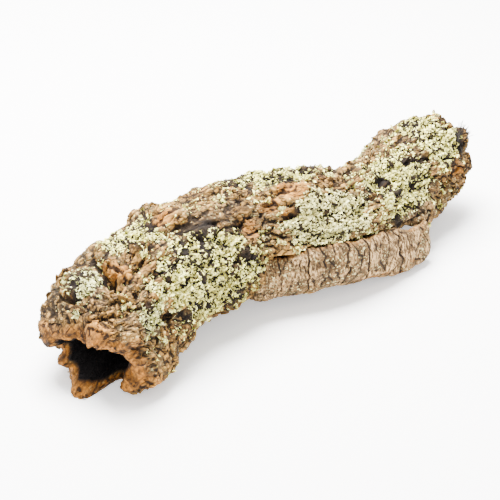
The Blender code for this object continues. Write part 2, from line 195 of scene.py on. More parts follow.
# The long crack in the side: where it starts and ends, and how far the bark below it is sunk.
CRACK_START = 190 * MM
CRACK_END = 440 * MM
CRACK_DEPTH = 14 * MM

# The lengths over which it opens and closes, and the turns below it, in degrees, over which
# the bark drops away and comes up again.
CRACK_OPENING = 25 * MM
CRACK_CLOSING = 50 * MM
CRACK_DROP = (-1.5, 2.5)
CRACK_RISE = (30, 70)

# Where the crack runs: along in millimetres, round in degrees.
CRACK_ANGLES = ((190, 82), (230, 78), (276, 75), (310, 84), (341, 98), (380, 112), (440, 118))

# The loose strip below the crack: along, then how far out and how high its top edge,
# its belly and its bottom edge are, in millimetres from the branch's centre line and the floor.
STRIP_MM = (
    (186, 40, 56, 46, 36, 32, 13),
    (205, 45, 59, 50, 36, 34, 12),
    (228, 46, 60, 51, 36, 36, 11),
    (252, 47, 61, 52, 36, 37, 10),
    (275, 48, 60, 53, 35, 39, 9),
    (298, 49, 54, 54, 30, 44, 8),
    (322, 50, 41, 57, 24, 54, 6),
    (345, 54, 33, 61, 22, 62, 5),
    (364, 56, 40, 62, 25, 64, 7),
)
STRIP_THICKNESS = 11 * MM

# How ragged its edges are, and how broad the darker rim beside them is.
STRIP_RAGGEDNESS = 4 * MM
STRIP_RIM = 5 * MM

# The lump of its top edge that fills the crack: its height, its place and its half length.
STRIP_LUMP = 10 * MM
STRIP_LUMP_ALONG = 331 * MM
STRIP_LUMP_REACH = 28 * MM

# The strip's own relief: broad swells, plates, chips and grit.
STRIP_SWELL_HEIGHT = 2.4 * MM
STRIP_PLATE_HEIGHT = 0.7 * MM
STRIP_CHIP_HEIGHT = 0.8 * MM
STRIP_GRIT_HEIGHT = 0.3 * MM

# The strip is painted darker orange-brown towards the floor, as painted shade, up to the first
# height, and no more above the second.
STRIP_SHADE_FROM = 12 * MM
STRIP_SHADE_TO = 26 * MM

# How many sections its mesh has, and how many points each face of a section has.
STRIP_ROWS = 300
STRIP_POINTS_ACROSS = 44

# Cracks across the strip: along, half width and depth, in millimetres.
STRIP_CRACKS_MM = (
    (214, 1.6, 2),
    (243, 2, 3.5),
    (256, 1.6, 2),
    (274, 2, 3.5),
    (291, 2, 3),
    (322, 2, 2.5),
)

# Patches of lichen: node, along, round in degrees, half length and half width in
# millimetres, and the tint of its lobes.
LICHEN_PATCHES = (
    ("lichen_by_fold", 26, 334, 20, 17, "grey_green"),
    ("lichen_at_mouth", 26, 56, 16, 18, "grey_green"),
    ("lichen_on_shoulder", 88, 338, 26, 32, "yellow_green"),
    ("lichen_on_near_flank", 116, 68, 76, 54, "yellow_green"),
    ("lichen_on_ridge", 234, 342, 62, 22, "yellow_green"),
    ("lichen_along_crack", 266, 48, 46, 27, "cream"),
    ("lichen_on_far_flank", 360, 42, 52, 42, "yellow_green"),
    ("lichen_on_head", 438, 22, 32, 40, "yellow_green"),
    ("lichen_behind", 165, 285, 54, 28, "yellow_green"),
    ("lichen_behind_head", 395, 290, 36, 24, "grey_green"),
)

# How ragged a patch's edge is, as a share of its size.
LICHEN_RAGGEDNESS = 0.35

# Thickness of a patch's cover and how much thicker its clumps are than that, by tint.
LICHEN_THICKNESS = {"yellow_green": (1.1, 2.2), "cream": (1.8, 0.7), "grey_green": (1.1, 2.2)}

# Nothing grows where the cover is thinner than the first, and no clump is thicker than
# the second.
THINNEST_COVER = 0.02
THICKEST_COVER = 2.0

# How much wider than the patch its small outer clumps reach, and how thick they are.
HALO_REACH = 1.7
HALO_THICKNESS = 0.8

# The tuft of twigs: node, along, round in degrees, half length and half width in millimetres.
TUFT_PATCH = ("twig_tuft", 466, 50, 9, 8)
TUFT_SPOTS = ((*TUFT_PATCH[1:], 1.0),)

# The way that the twigs lean: along the branch, down its near side and out of the bark.
TWIG_LEAN = (0.9, -0.6, 0.65)

# How the scattered copies differ: their smallest and largest scale, and how far they tilt
# and turn, in radians.
FLAKE_SPREAD = {"Smallest": 0.5, "Largest": 1.9, "Tilt": 0.16, "Spin": 0.5}
LICHEN_SPREAD = {"Smallest": 0.45, "Largest": 1.15, "Tilt": 0.6, "Spin": math.pi}
TWIG_SPREAD = {"Smallest": 0.5, "Largest": 1.05, "Tilt": 0.25, "Spin": 0.35}

# How far apart the seeds of two patches of lichen are.
SEED_STEP = 20

# Where the bark is worn to its orange inside: along, round, half length, half width, strength.
ORANGE_SPOTS = (
    (-14, 8, 11, 34, 1.0),
    (-14, 200, 30, 28, 1.0),
    (-12, 292, 12, 26, 0.55),
    (-4, 66, 9, 14, 0.9),
    (0, 120, 12, 26, 0.6),
    (47, 356, 7, 22, 1.0),
    (16, 322, 5, 8, 0.6),
    (30, 46, 12, 5, 0.7),
    (111, 354, 20, 12, 0.8),
    (185, 45, 12, 14, 0.9),
    (242, 13, 18, 10, 1.0),
    (233, 35, 10, 7, 0.9),
    (215, 24, 16, 10, 0.7),
    (336, 36, 10, 8, 0.8),
    (447, 67, 16, 12, 0.9),
    (62, 20, 24, 16, 0.4),
    (380, 60, 20, 16, 0.4),
    (140, 240, 30, 20, 0.6),
    (300, 270, 24, 20, 0.6),
)

# Where the bark is pale grey-beige: along, round, half length, half width, strength.
PALE_SPOTS = (
    (345, 92, 44, 18, 0.8),
    (396, 328, 36, 36, 0.25),
    (20, 345, 20, 30, 0.35),
    (240, 160, 80, 40, 0.6),
    (250, 250, 60, 30, 0.5),
)

# Where the bark is painted darker: the first two places are painted shade on the mouth's left rim,
# and the fifth is a painted shadow in the pocket at the far rim; the others are just darker. Along,
# round, half length, half width, strength.
DARK_AND_SHADED_SPOTS = (
    (10, 305, 34, 46, 0.9),
    (-6, 278, 20, 30, 0.8),
    (440, 340, 44, 34, 1.0),
    (400, 350, 30, 24, 0.8),
    (472, 47, 10, 10, 0.9),
    (100, 290, 40, 26, 0.5),
)

# Creases in the bark: half width and depth in millimetres, and then the places that each one
# runs through, along in millimetres and round in degrees.
CREASES = (
    (1.8, 4.0, ((-9, -46), (-6, -21), (-5, 1), (-1, 12), (6, 24), (14, 36))),
    (2.2, 5.0, ((15, -48), (14, -40), (13, -30))),
    (3.4, 9.0, ((56, -42), (47, -26), (41, -14), (37, -4), (32, 9))),
    (1.5, 3.5, ((53, -30), (48, -12), (46, 4), (40, 16))),
    (1.4, 3.0, ((8, -4), (11, 9), (22, 17), (20, 34), (24, 48))),
    (1.8, 4.5, ((24, 74), (16, 82), (9, 84), (3, 96))),
    (1.8, 4.0, ((48, 74), (40, 80), (29, 86), (25, 98), (22, 112))),
    (1.4, 3.0, ((-11, 39), (-9, 48), (-6, 57), (-2, 68), (6, 74))),
    (1.5, 3.5, ((118, -44), (108, -24), (101, -9), (106, 3))),
    (1.4, 3.0, ((132, 40), (150, 34), (176, 36), (192, 30))),
)

# Where the bark is smooth and bare: along, round, half length, half width, strength.
# The first place is a brown plate.
SMOOTH_SPOTS = (
    (152, 20, 32, 15, 1.0),
    (345, 92, 40, 16, 0.6),
)

# The stage: half the floor's width, and where the softboxes are and how wide, in metres.
FLOOR_HALF_WIDTH = 6.0
OVERHEAD_AT = (0.1, 0.45, 1.4)
OVERHEAD_SIZE = 1.0
LEFT_LIGHT_AT = (-1.3, 0.0, 0.9)
LEFT_LIGHT_SIZE = 0.8
SENSOR_WIDTH_MM = 36.0
WHITE = (1.0, 1.0, 1.0, 1.0)


def noise(points, size, seed):
    """Smooth gradient noise, about -1 to 1, with features of the given size."""
    place = points / np.asarray(size, float) + seed * 7.913
    cell = np.floor(place).astype(np.int64)
    part = place - cell
    fade = part**3 * (part * (part * 6 - 15) + 10)
    total = np.zeros(len(points))
    for corner in itertools.product((0, 1), repeat=3):
        at = cell + np.array(corner)
        mixed = (at[:, 0] * 73856093) ^ (at[:, 1] * 19349663) ^ (at[:, 2] * 83492791)
        mixed = (mixed ^ (mixed >> 13)) * 1274126177 & 0xFFFFFFFF
        mixed = (mixed ^ (mixed >> 16)) * 2246822519 & 0xFFFFFFFF
        slopes = [(mixed >> shift & 255) / 127.5 - 1 for shift in (0, 8, 16)]
        weight = np.ones(len(points))
        height = np.zeros(len(points))
        for axis in range(3):
            share = fade[:, axis]
            weight = weight * (share if corner[axis] else 1 - share)
            height = height + slopes[axis] * (part[:, axis] - corner[axis])
        total = total + weight * height
    return total * 1.4


def chance_in(cell, salt):
    """A number from 0 to 1 for each cell, different for each salt."""
    mixed = (cell[:, 0] * 92837111) ^ (cell[:, 1] * 68917849) ^ (cell[:, 2] * 28390277)
    mixed = ((mixed ^ (salt * 7368787)) * 1274126177) & 0xFFFFFFFF
    mixed = ((mixed ^ (mixed >> 15)) * 2246822519) & 0xFFFFFFFF
    return ((mixed ^ (mixed >> 13)) & 0xFFFF) / 65535


def plates_of(points, size, seed):
    """The bark split into plates of a size. Gives how near each point is to a gap between
    plates, 0 to 1, its plate's own number, 0 to 1, and how far its plate leans up there,
    about -0.5 to 0.5."""
    place = points / np.asarray(size, float) + seed * 3.17
    home = np.floor(place).astype(np.int64)
    nearest = np.full(len(points), 9.0)
    second = np.full(len(points), 9.0)
    number = np.zeros(len(points))
    lean = np.zeros(len(points))
    for step in itertools.product((-1, 0, 1), repeat=3):
        cell = home + np.array(step)
        chances = np.stack([chance_in(cell, salt) for salt in range(7)], axis=1)
        offset = place - cell - chances[:, :3]
        distance = np.linalg.norm(offset, axis=1)
        closer = distance < nearest
        second = np.where(closer, nearest, np.minimum(second, distance))
        number = np.where(closer, chances[:, 3], number)
        lean = np.where(closer, (offset * (chances[:, 4:] - 0.5)).sum(axis=1), lean)
        nearest = np.where(closer, distance, nearest)
    return 1 - smooth_step(second - nearest, 0.02, 0.11), number, lean


def smooth_step(value, low, high):
    """0 at low and below, 1 at high and above, smooth between."""
    share = np.clip((value - low) / (high - low), 0, 1)
    return share * share * (3 - 2 * share)


def bump(distance):
    """1 at no distance, falling smoothly to nearly 0 at 2."""
    return np.exp(-distance * distance)


def plateau(distance):
    """1 near no distance, falling steeply about 1."""
    return np.exp(-(distance**4))


def angle_between(angle, other):
    """The turn from one angle to another, in degrees, -180 to 180."""
    return (angle - other + 180) % 360 - 180


def curve_through(knots, values, at):
    """A smooth curve through the values at the knots, read at each place in at."""
    slopes = np.gradient(values, knots, axis=0)
    index = np.clip(np.searchsorted(knots, at) - 1, 0, len(knots) - 2)
    span = (knots[index + 1] - knots[index])[:, None]
    share = (np.clip(at, knots[0], knots[-1]) - knots[index])[:, None] / span
    beyond = (at - np.clip(at, knots[0], knots[-1]))[:, None]
    cube, square = share**3, share**2
    inside = (
        (2 * cube - 3 * square + 1) * values[index]
        + (cube - 2 * square + share) * span * slopes[index]
        + (3 * square - 2 * cube) * values[index + 1]
        + (cube - square) * span * slopes[index + 1]
    )
    end_slope = np.where(beyond < 0, slopes[0], slopes[-1])
    return inside + beyond * end_slope * (np.arange(values.shape[1]) < 3)


SECTIONS = np.array(SECTIONS_MM, float) * MM
SECTIONS[:, :3] -= np.array(ORIGIN_MM) * MM
STEPS = np.linalg.norm(np.diff(SECTIONS[:, :3], axis=0), axis=1)
KNOTS = FIRST_SECTION_ALONG + np.concatenate([[0], np.cumsum(STEPS)])


def frame_at(along):
    """Centre, outward side at -Y, up, half width and half height at each distance along."""
    small = 1 * MM
    read = curve_through(KNOTS, SECTIONS, along)
    ahead = curve_through(KNOTS, SECTIONS, along + small)[:, :3]
    behind = curve_through(KNOTS, SECTIONS, along - small)[:, :3]
    forward = ahead - behind
    forward /= np.linalg.norm(forward, axis=1)[:, None]
    side = np.cross(forward, (0.0, 0.0, 1.0))
    side /= np.linalg.norm(side, axis=1)[:, None]
    return read[:, :3], side, np.cross(side, forward), read[:, 3], read[:, 4]


def plain_radius(angle, half_width, half_height):
    """The radius of the oval section at each angle."""
    turn = np.radians(angle)
    return 1 / np.sqrt((np.sin(turn) / half_width) ** 2 + (np.cos(turn) / half_height) ** 2)


def swelling(along, angle, radius):
    """The height that the grown forms add to the bark."""
    total = np.zeros(len(along))
    for at, turn, half_length, half_width, height in SWELLINGS:
        lengthways = (along - at * MM) / (half_length * MM)
        crossways = np.radians(angle_between(angle, turn)) * radius / (half_width * MM)
        total += height * MM * bump(np.hypot(lengthways, crossways))
    return total


def crack_angle(along):
    """The angle of the long crack, with a ragged edge."""
    table = np.array(CRACK_ANGLES, float)
    return np.interp(along, table[:, 0] * MM, table[:, 1]) + 1.5 * np.sin(along / (7 * MM))


def crack_sinking(along, angle):
    """How far the bark is sunk below the crack, with a steep edge under its lip."""
    lengthways = smooth_step(along, CRACK_START, CRACK_START + CRACK_OPENING)
    lengthways = lengthways * (1 - smooth_step(along, CRACK_END - CRACK_CLOSING, CRACK_END))
    below = angle_between(angle, crack_angle(along))
    crossways = smooth_step(below, *CRACK_DROP) * (1 - smooth_step(below, *CRACK_RISE))
    return CRACK_DEPTH * lengthways * crossways


def terraces(height, steps):
    """The height in flat steps with steep edges, as bark flakes off in layers."""
    scaled = height * steps
    level = np.floor(scaled)
    return (level + smooth_step(scaled - level, 0.55, 0.95)) / steps


def relief(straight):
    """Plates, ledges and furrows of the bark, on the branch laid out straight."""
    lumps = noise(straight, (55 * MM, 34 * MM, 34 * MM), 3)
    plates = noise(straight, (38 * MM, 21 * MM, 21 * MM), 11)
    plates = plates + 0.45 * noise(straight, (15 * MM, 10 * MM, 10 * MM), 12)
    furrows = 1 - np.abs(noise(straight, (60 * MM, 17 * MM, 17 * MM), 21)) * 3
    furrows = np.clip(furrows, 0, 1) ** 2
    return LUMP_HEIGHT * lumps + LEDGE_HEIGHT * terraces(plates, 2.2) - FURROW_DEPTH * furrows


def straightened(along, angle, radius):
    """The places on the branch laid out straight on X."""
    turn = np.radians(angle)
    return np.stack([along, radius * np.sin(turn), radius * np.cos(turn)], axis=1)


def mouth_edge(angle, column):
    """One of the measures of the mouth's edge, in metres, at each angle."""
    table = np.array(MOUTH_EDGE, float)
    return np.interp(angle, table[:, 0], table[:, column] * MM, period=360)


def wall_at(along, angle):
    """The wall's thickness, which differs round the mouth and evens out further in."""
    at_mouth = mouth_edge(angle, 1)
    near_mouth = 1 - smooth_step(along, MOUTH_WALL_FROM, MOUTH_WALL_TO)
    return WALL + near_mouth * (at_mouth - WALL)


def broken_end(angle, breaks, seed):
    """How far a broken end stands back from a square cut at each angle."""
    turn = np.radians(angle)
    ring = np.stack([np.sin(turn), np.cos(turn), np.zeros(len(turn))], axis=1)
    total = 3 * MM * noise(ring, 0.35, seed) + 2 * MM * noise(ring, 0.13, seed + 1)
    for at, half_width, distance in breaks:
        total += distance * MM * plateau(angle_between(angle, at) / half_width)
    return total


def spots(along, angle, places):
    """How strongly each point lies in one of the oval places, 0 to 1."""
    total = np.zeros(len(along))
    for at, turn, half_length, half_width, strength in places:
        girth = np.interp(along, KNOTS, SECTIONS[:, 3])
        lengthways = (along - at * MM) / (half_length * MM)
        crossways = np.radians(angle_between(angle, turn)) * girth / (half_width * MM)
        total = np.maximum(total, strength * bump(np.hypot(lengthways, crossways)))
    return total


def warped(straight, size, reach, seed):
    """The points moved about by noise, so that a pattern on them wanders."""
    moves = [noise(straight, size, seed + axis) for axis in range(3)]
    return straight + reach * np.stack(moves, axis=1)


def plate_relief(points, size, seed, height):
    """The height of plates that stand and lean differently, with gaps, and their numbers."""
    gap, number, lean = plates_of(points, size, seed)
    return height * (0.9 * (number - 0.5) + 1.3 * lean - 0.8 * gap), number


def creased(along, angle, girth):
    """How deep the creases are at each point, in metres."""
    deepest = np.zeros(len(along))
    signed = angle_between(angle, 0)
    point = np.stack([along, np.radians(signed) * girth], axis=1)
    flat = np.pad(point, ((0, 0), (0, 1)))
    wander = 1.6 * MM * noise(flat, 7 * MM, 91)
    for half_width, depth, places in CREASES:
        nearest = np.full(len(along), 1.0)
        for (start_at, start_turn), (end_at, end_turn) in zip(places[:-1], places[1:]):
            start = np.stack([girth * 0 + start_at * MM, math.radians(start_turn) * girth], axis=1)
            end = np.stack([girth * 0 + end_at * MM, math.radians(end_turn) * girth], axis=1)
            run = end - start
            share = ((point - start) * run).sum(axis=1) / (run * run).sum(axis=1)
            foot = start + run * np.clip(share, 0, 1)[:, None]
            nearest = np.minimum(nearest, np.linalg.norm(point - foot, axis=1))
        deep = depth * MM * bump(np.maximum(nearest + wander, 0) / (half_width * MM))
        deepest = np.maximum(deepest, deep)
    return deepest


def mouth_share(straight, along):
    """1 where the bark lies in the layers of the mouth and 0 further in, with a wandering edge."""
    swirl = 14 * MM * noise(straight, 40 * MM, 133)
    return 1 - smooth_step(along + swirl, MOUTH_LAYERS_FROM, MOUTH_LAYERS_TO)


def fine_relief(straight, along, angle, girth):
    """Plates, cracks, wrinkles and crumbs on the bark's outer face, and each plate's number."""
    moved = warped(straight, 15 * MM, 5 * MM, 101)
    moved = warped(moved, 5 * MM, 1.6 * MM, 104)
    large, number = plate_relief(moved, (32 * MM, 14 * MM, 14 * MM), 5, PLATE_HEIGHT)
    small, _ = plate_relief(moved, (11 * MM, 5 * MM, 5 * MM), 6, SMALL_PLATE_HEIGHT)
    steps = noise(moved, (26 * MM, 10 * MM, 10 * MM), 141) + 0.3 * noise(moved, 7 * MM, 143)
    steps = STEP_HEIGHT * terraces(steps, 4)
    layers, ring_number = plate_relief(moved, (4.6 * MM, 22 * MM, 22 * MM), 7, LAYER_HEIGHT)
    lobes = LOBE_HEIGHT * terraces(noise(moved, (8 * MM, 22 * MM, 22 * MM), 142), 4)
    crumbs = noise(straight, 2.4 * MM, 131)
    at_mouth = mouth_share(straight, along)
    rough = 1 - 0.75 * spots(along, angle, SMOOTH_SPOTS)
    body = (large + small + steps) * (1 - at_mouth) + (layers + lobes) * at_mouth
    number = np.where(at_mouth > 0.5, ring_number, number)
    total = rough * (body + CRUMB_HEIGHT * crumbs) - creased(along, angle, girth)
    return total, number


def loop_rows(outside_rows, inside_rows, rim_rows):
    """How far along and how far inward each row of a column is, out to the far end and back."""
    outside = [(share**1.15, 0.0) for share in np.linspace(0, 1, outside_rows)]
    inside = [(share, 1.0) for share in np.linspace(1, 0, inside_rows)]
    rim = np.linspace(0, 1, rim_rows + 2)[1:-1]
    far_rim = [(1.0, share) for share in rim]
    near_rim = [(0.0, 1 - share) for share in rim]
    return np.array(outside + far_rim + inside + near_rim)


def blurred(grid, columns, rows):
    """The grid averaged over a window of that many columns and rows to each side."""
    padded = np.pad(grid, ((columns, columns), (0, 0)), mode="wrap")
    padded = np.pad(padded, ((0, 0), (rows, rows)), mode="edge")
    total = np.cumsum(np.cumsum(padded, axis=0), axis=1)
    total = np.pad(total, ((1, 0), (1, 0)))
    wide, tall = 2 * columns + 1, 2 * rows + 1
    window = total[wide:, tall:] - total[:-wide, tall:] - total[wide:, :-tall]
    return (window + total[:-wide, :-tall]) / (wide * tall)


def kept_inside(points):
    """The points moved, where they need to be, to stay inside the part's own box."""
    low, high = np.array(CAD_BOX)
    return np.clip(points, low, high)


class Tube:
    """The bark's tube as a grid of columns round and rows out and back, with its patterns."""

    def __init__(self, columns, outside_rows, inside_rows, rim_rows):
        rows = loop_rows(outside_rows, inside_rows, rim_rows)
        self.columns, self.rows, self.outside_rows = columns, len(rows), outside_rows
        angles = np.arange(columns) * 360 / columns
        self.angle = np.repeat(angles, len(rows))
        share = np.tile(rows[:, 0], columns)
        self.inward = np.tile(rows[:, 1], columns)
        mouth_line = broken_end(angles, MOUTH_BREAKS, 41) - MOUTH_FORWARD
        mouth = np.repeat(mouth_line, len(rows)) + mouth_edge(self.angle, 2) * self.inward
        far = np.repeat(broken_end(angles, FAR_BREAKS, 51), len(rows))
        rounding = RIM_ROUNDING * (1 - np.sin(math.pi * self.inward)) * (1 - 2 * share)
        on_end = (share < 1e-9) | (share > 1 - 1e-9)
        along = BRANCH_LENGTH * share + mouth * (1 - share) ** 4 + far * share**4
        self.along = along + np.where(on_end, rounding, RIM_ROUNDING * (1 - 2 * share))
        self.shape(on_end)

    def shape(self, on_end):
        """Sets the points and the height of the small relief."""
        centre, side, up, half_width, half_height = frame_at(self.along)
        radius = plain_radius(self.angle, half_width, half_height)
        straight = straightened(self.along, self.angle, radius)
        grown = swelling(self.along, self.angle, radius)
        sinking = crack_sinking(self.along, self.angle)
        self.fine, self.number = fine_relief(straight, self.along, self.angle, radius)
        coarse = relief(straight)
        self.height = coarse + self.fine - 0.6 * sinking
        outer = radius + grown + coarse + self.fine - sinking
        inner = radius + 0.55 * grown - 0.35 * np.clip(grown, None, 0)
        inner = inner - wall_at(self.along, self.angle) - 0.45 * sinking
        inner = inner + 1.5 * MM * noise(straight, (50 * MM, 14 * MM, 14 * MM), 31)
        inner = inner + 0.8 * MM * noise(straight, (12 * MM, 4 * MM, 4 * MM), 33)
        inner = np.minimum(inner, outer - THINNEST_WALL)
        reach = (outer * (1 - self.inward) + inner * self.inward)[:, None]
        turn = np.radians(self.angle)[:, None]
        outward = side * np.sin(turn) + up * np.cos(turn)
        points = centre + reach * outward
        self.straight = straightened(self.along, self.angle, reach[:, 0])
        self.forward = np.cross(up, side)
        on_rim = on_end * np.sin(math.pi * np.clip(self.inward, 0.06, 0.94))
        crumbling = 1.5 * MM * noise(points, 4 * MM, 151) + 1.6 * MM * noise(points, 9 * MM, 152)
        fibres = self.straight * (0, 1, 1) / np.maximum(reach, 1 * MM) * 40 * MM
        crumbling += 1.5 * MM * noise(fibres, 2.6 * MM, 153)
        self.rim_height = crumbling * on_rim
        self.points = kept_inside(points + self.forward * self.rim_height[:, None])

    def faces(self):
        """All faces of the tube, which is closed both ways."""
        index = np.arange(self.columns * self.rows).reshape(self.columns, self.rows)
        beside = np.roll(index, -1, axis=0)
        after = np.roll(index, -1, axis=1)
        corner = np.roll(beside, -1, axis=1)
        return np.stack([index, after, corner, beside], axis=-1).reshape(-1, 4)

    def grain(self):
        """The way that flakes lie at each point: along the branch, but round it at the mouth."""
        turn = np.radians(self.angle)[:, None]
        _, side, up, _, _ = frame_at(self.along)
        round_it = side * np.cos(turn) - up * np.sin(turn)
        at_mouth = mouth_share(self.straight, self.along)[:, None]
        return self.forward * (1 - at_mouth) + round_it * at_mouth

    def outside_faces(self):
        """The faces of the outer side alone."""
        faces = self.faces().reshape(self.columns, self.rows, 4)
        return faces[:, : self.outside_rows - 1].reshape(-1, 4)

    def cavity(self):
        """How far each point lies in a furrow or under a ledge, 0 to 1."""
        grid = self.height.reshape(self.columns, self.rows)
        close = blurred(grid, 2, 2) - grid
        wide = blurred(grid, 7, 6) - grid
        depth = close / (0.7 * MM) + wide / (3.0 * MM)
        return np.clip(depth, 0, 1).reshape(-1)

    def crest(self):
        """How far each point stands out on an edge or a plate, 0 to 1."""
        grid = self.height.reshape(self.columns, self.rows)
        close = grid - blurred(grid, 3, 3)
        return np.clip(close / (1.6 * MM), 0, 1).reshape(-1)

    def spots(self, places):
        """How strongly each point lies in one of the oval places, 0 to 1."""
        return spots(self.along, self.angle, places)

    def cover(self, patch):
        """How much grows at each point of a patch, 0 to 1."""
        return patch_cover(self.points, self.along, self.angle, patch)


def patch_cover(points, along, angle, patch):
    """How much grows at each point of a patch: 0 outside its ragged edge, 1 well inside."""
    at, turn, half_length, half_width = patch[1:5]
    girth = np.interp(along, KNOTS, SECTIONS[:, 3])
    lengthways = (along - at * MM) / (half_length * MM)
    crossways = np.radians(angle_between(angle, turn)) * girth / (half_width * MM)
    ragged = LICHEN_RAGGEDNESS * noise(points, 14 * MM, 71)
    return np.clip((1.06 - np.hypot(lengthways, crossways) - ragged) / 0.3, 0, 1)


def strip_chipping(along, height):
    """How far the strip's outer face stands out or in: chips, thin cracks, plates and crumbs."""
    place = np.stack([along, height, height * 0], axis=1)
    total = STRIP_SWELL_HEIGHT * noise(place, (26 * MM, 12 * MM, 1.0), 61)
    wander = 2 * MM * noise(place, (40 * MM, 14 * MM, 1.0), 64)
    wander += 1.6 * MM * noise(place, (14 * MM, 6 * MM, 1.0), 69)
    fade = np.clip(0.65 + 0.6 * noise(place, (9 * MM, 9 * MM, 1.0), 70), 0.1, 1)
    for at, half_width, depth in STRIP_CRACKS_MM:
        total -= depth * MM * fade * bump((along + 2 * wander - at * MM) / (half_width * 0.45 * MM))
    moved = place + (wander * 1.2)[:, None] * (1, 0.4, 0)
    slabs, _ = plate_relief(moved, (16 * MM, 40 * MM, 1.0), 9, STRIP_PLATE_HEIGHT)
    chips = STRIP_CHIP_HEIGHT * terraces(noise(moved, (9 * MM, 16 * MM, 1.0), 72), 3)
    grit = STRIP_GRIT_HEIGHT * noise(place, (1.8 * MM, 3 * MM, 1.0), 66)
    return total + slabs + chips + grit


def strip_section(top, belly, bottom, half_thickness):
    """One rounded section of the strip, as out and up: its outer face, then its inner face."""
    across = np.linspace(0, 1, STRIP_POINTS_ACROSS)
    weights = ((1 - across) ** 2, 2 * across * (1 - across), across**2)
    handle = 2 * belly - (top + bottom) / 2
    spine = sum(np.outer(weight, point) for weight, point in zip(weights, (top, handle, bottom)))
    run = np.gradient(spine, axis=0)
    run /= np.linalg.norm(run, axis=1)[:, None]
    outward = np.stack([-run[:, 1], run[:, 0]], axis=1)
    roundness = np.sqrt(np.clip(1 - (2 * across - 1) ** 8, 0.08, 1))[:, None]
    offset = outward * half_thickness * roundness
    return np.concatenate([spine + offset, (spine - offset)[::-1]])


def strip_sheet():
    """The loose strip: points, faces, and how sunk, raised and near its rim each point is."""
    table = np.array(STRIP_MM, float) * MM
    along = np.linspace(table[0, 0], table[-1, 0], STRIP_ROWS)
    read = curve_through(table[:, 0], table[:, 1:], along)
    centre, side, _, _, _ = frame_at(along)
    edge_line = np.stack([along, along * 0, along * 0], axis=1)
    read[:, 1] += STRIP_RAGGEDNESS * noise(edge_line, 11 * MM, 62)
    read[:, 1] += 1.4 * MM * noise(edge_line, 3.5 * MM, 67)
    read[:, 1] += STRIP_LUMP * bump((along - STRIP_LUMP_ALONG) / STRIP_LUMP_REACH)
    read[:, 5] += STRIP_RAGGEDNESS * noise(edge_line, 16 * MM, 63)
    read[:, 5] += 1.6 * MM * noise(edge_line, 4 * MM, 68)
    rings, heights, around = [], [], []
    for row in range(STRIP_ROWS):
        from_end = min(row, STRIP_ROWS - 1 - row) / STRIP_ROWS
        half_thickness = STRIP_THICKNESS / 2 * math.sqrt(min(1, 0.25 + 20 * from_end))
        section = strip_section(read[row, 0:2], read[row, 2:4], read[row, 4:6], half_thickness)
        chipping = strip_chipping(np.full(len(section), along[row]), section[:, 1])
        chipping[STRIP_POINTS_ACROSS:] *= 0.5
        place = np.outer(section[:, 0] + chipping, side[row]) + centre[row] * (1, 1, 0)
        place[:, 2] += section[:, 1]
        rings.append(place)
        heights.append(chipping)
        high = section[:, 1]
        from_rim = np.minimum(high - high.min(), high.max() - high)
        around.append(1 - smooth_step(from_rim, 0, STRIP_RIM))
    points = np.concatenate(rings)
    ring = 2 * STRIP_POINTS_ACROSS
    index = np.arange(STRIP_ROWS * ring).reshape(STRIP_ROWS, ring)
    beside = np.roll(index, -1, axis=1)
    sides = np.stack([index[:-1], index[1:], beside[1:], beside[:-1]], axis=-1).reshape(-1, 4)
    faces = sides.tolist()
    faces.append(list(range(ring)))
    faces.append(list(reversed(range((STRIP_ROWS - 1) * ring, STRIP_ROWS * ring))))
    grid = np.array(heights).T
    sunk = np.clip((blurred(grid, 2, 4) - grid) / (0.45 * MM), 0, 1).T.reshape(-1)
    raised = np.clip((grid - blurred(grid, 2, 4)) / (1.2 * MM), 0, 1).T.reshape(-1)
    return kept_inside(points), faces, sunk, raised, np.concatenate(around)


def mesh_from(name, points, faces):
    """A mesh of these points and faces."""
    mesh = bpy.data.meshes.new(name)
    mesh.from_pydata(points.tolist(), [], [list(map(int, face)) for face in faces])
    mesh.validate()
    return mesh


def add_values(mesh, name, values):
    """A number at each point of the mesh, for a material to read."""
    layer = mesh.attributes.new(name, "FLOAT", "POINT")
    layer.data.foreach_set("value", np.asarray(values, np.float32))


def add_vectors(mesh, name, vectors):
    """A vector at each point of the mesh, for a material to read."""
    layer = mesh.attributes.new(name, "FLOAT_VECTOR", "POINT")
    layer.data.foreach_set("vector", np.asarray(vectors, np.float32).reshape(-1))


def shown(name, mesh):
    """A new object with this mesh, in the scene."""
    made = bpy.data.objects.new(name, mesh)
    bpy.context.scene.collection.objects.link(made)
    return made


# Where a Mix node that mixes colours has its two colours and its result.
MIX_FIRST = 6
MIX_SECOND = 7
MIX_RESULT = 2

# How much the matt finishes shine, and how rough they are.
SHINE = 0.12
ROUGHNESS = 0.9
TWIG_ROUGHNESS = 0.85

# The palest rims of the lobes, their pale colour with a painted highlight, and how dark the darkest
# lobes are against the lightest.
LICHEN_EDGE_HIGHLIGHT = (0.98, 0.97, 0.62)
LICHEN_SHADE = (0.40, 0.36, 0.33)


class Wire:
    """A socket of a material, with the operators that add its Math nodes."""

    def __init__(self, maker, socket):
        self.maker, self.socket = maker, socket

    def _math(self, operation, *others, clamp=False):
        settings = {"operation": operation, "use_clamp": clamp}
        return self.maker.add("ShaderNodeMath", settings, dict(enumerate((self, *others))))

    def __add__(self, other):
        return self._math("ADD", other)

    __radd__ = __add__

    def __mul__(self, other):
        return self._math("MULTIPLY", other)

    __rmul__ = __mul__

    def __sub__(self, other):
        return self._math("SUBTRACT", other)

    def __rsub__(self, other):
        return self.maker.add("ShaderNodeMath", {"operation": "SUBTRACT"}, {0: other, 1: self})

    def __pow__(self, other):
        return self._math("POWER", other)

    def most(self, other):
        return self._math("MAXIMUM", other)

    def clamped(self):
        return self._math("ADD", 0.0, clamp=True)

    def between(self, low, high):
        """0 at low and below, 1 at high and above, smooth between."""
        settings = {"interpolation_type": "SMOOTHSTEP"}
        return self.maker.add("ShaderNodeMapRange", settings, {0: self, 1: low, 2: high})


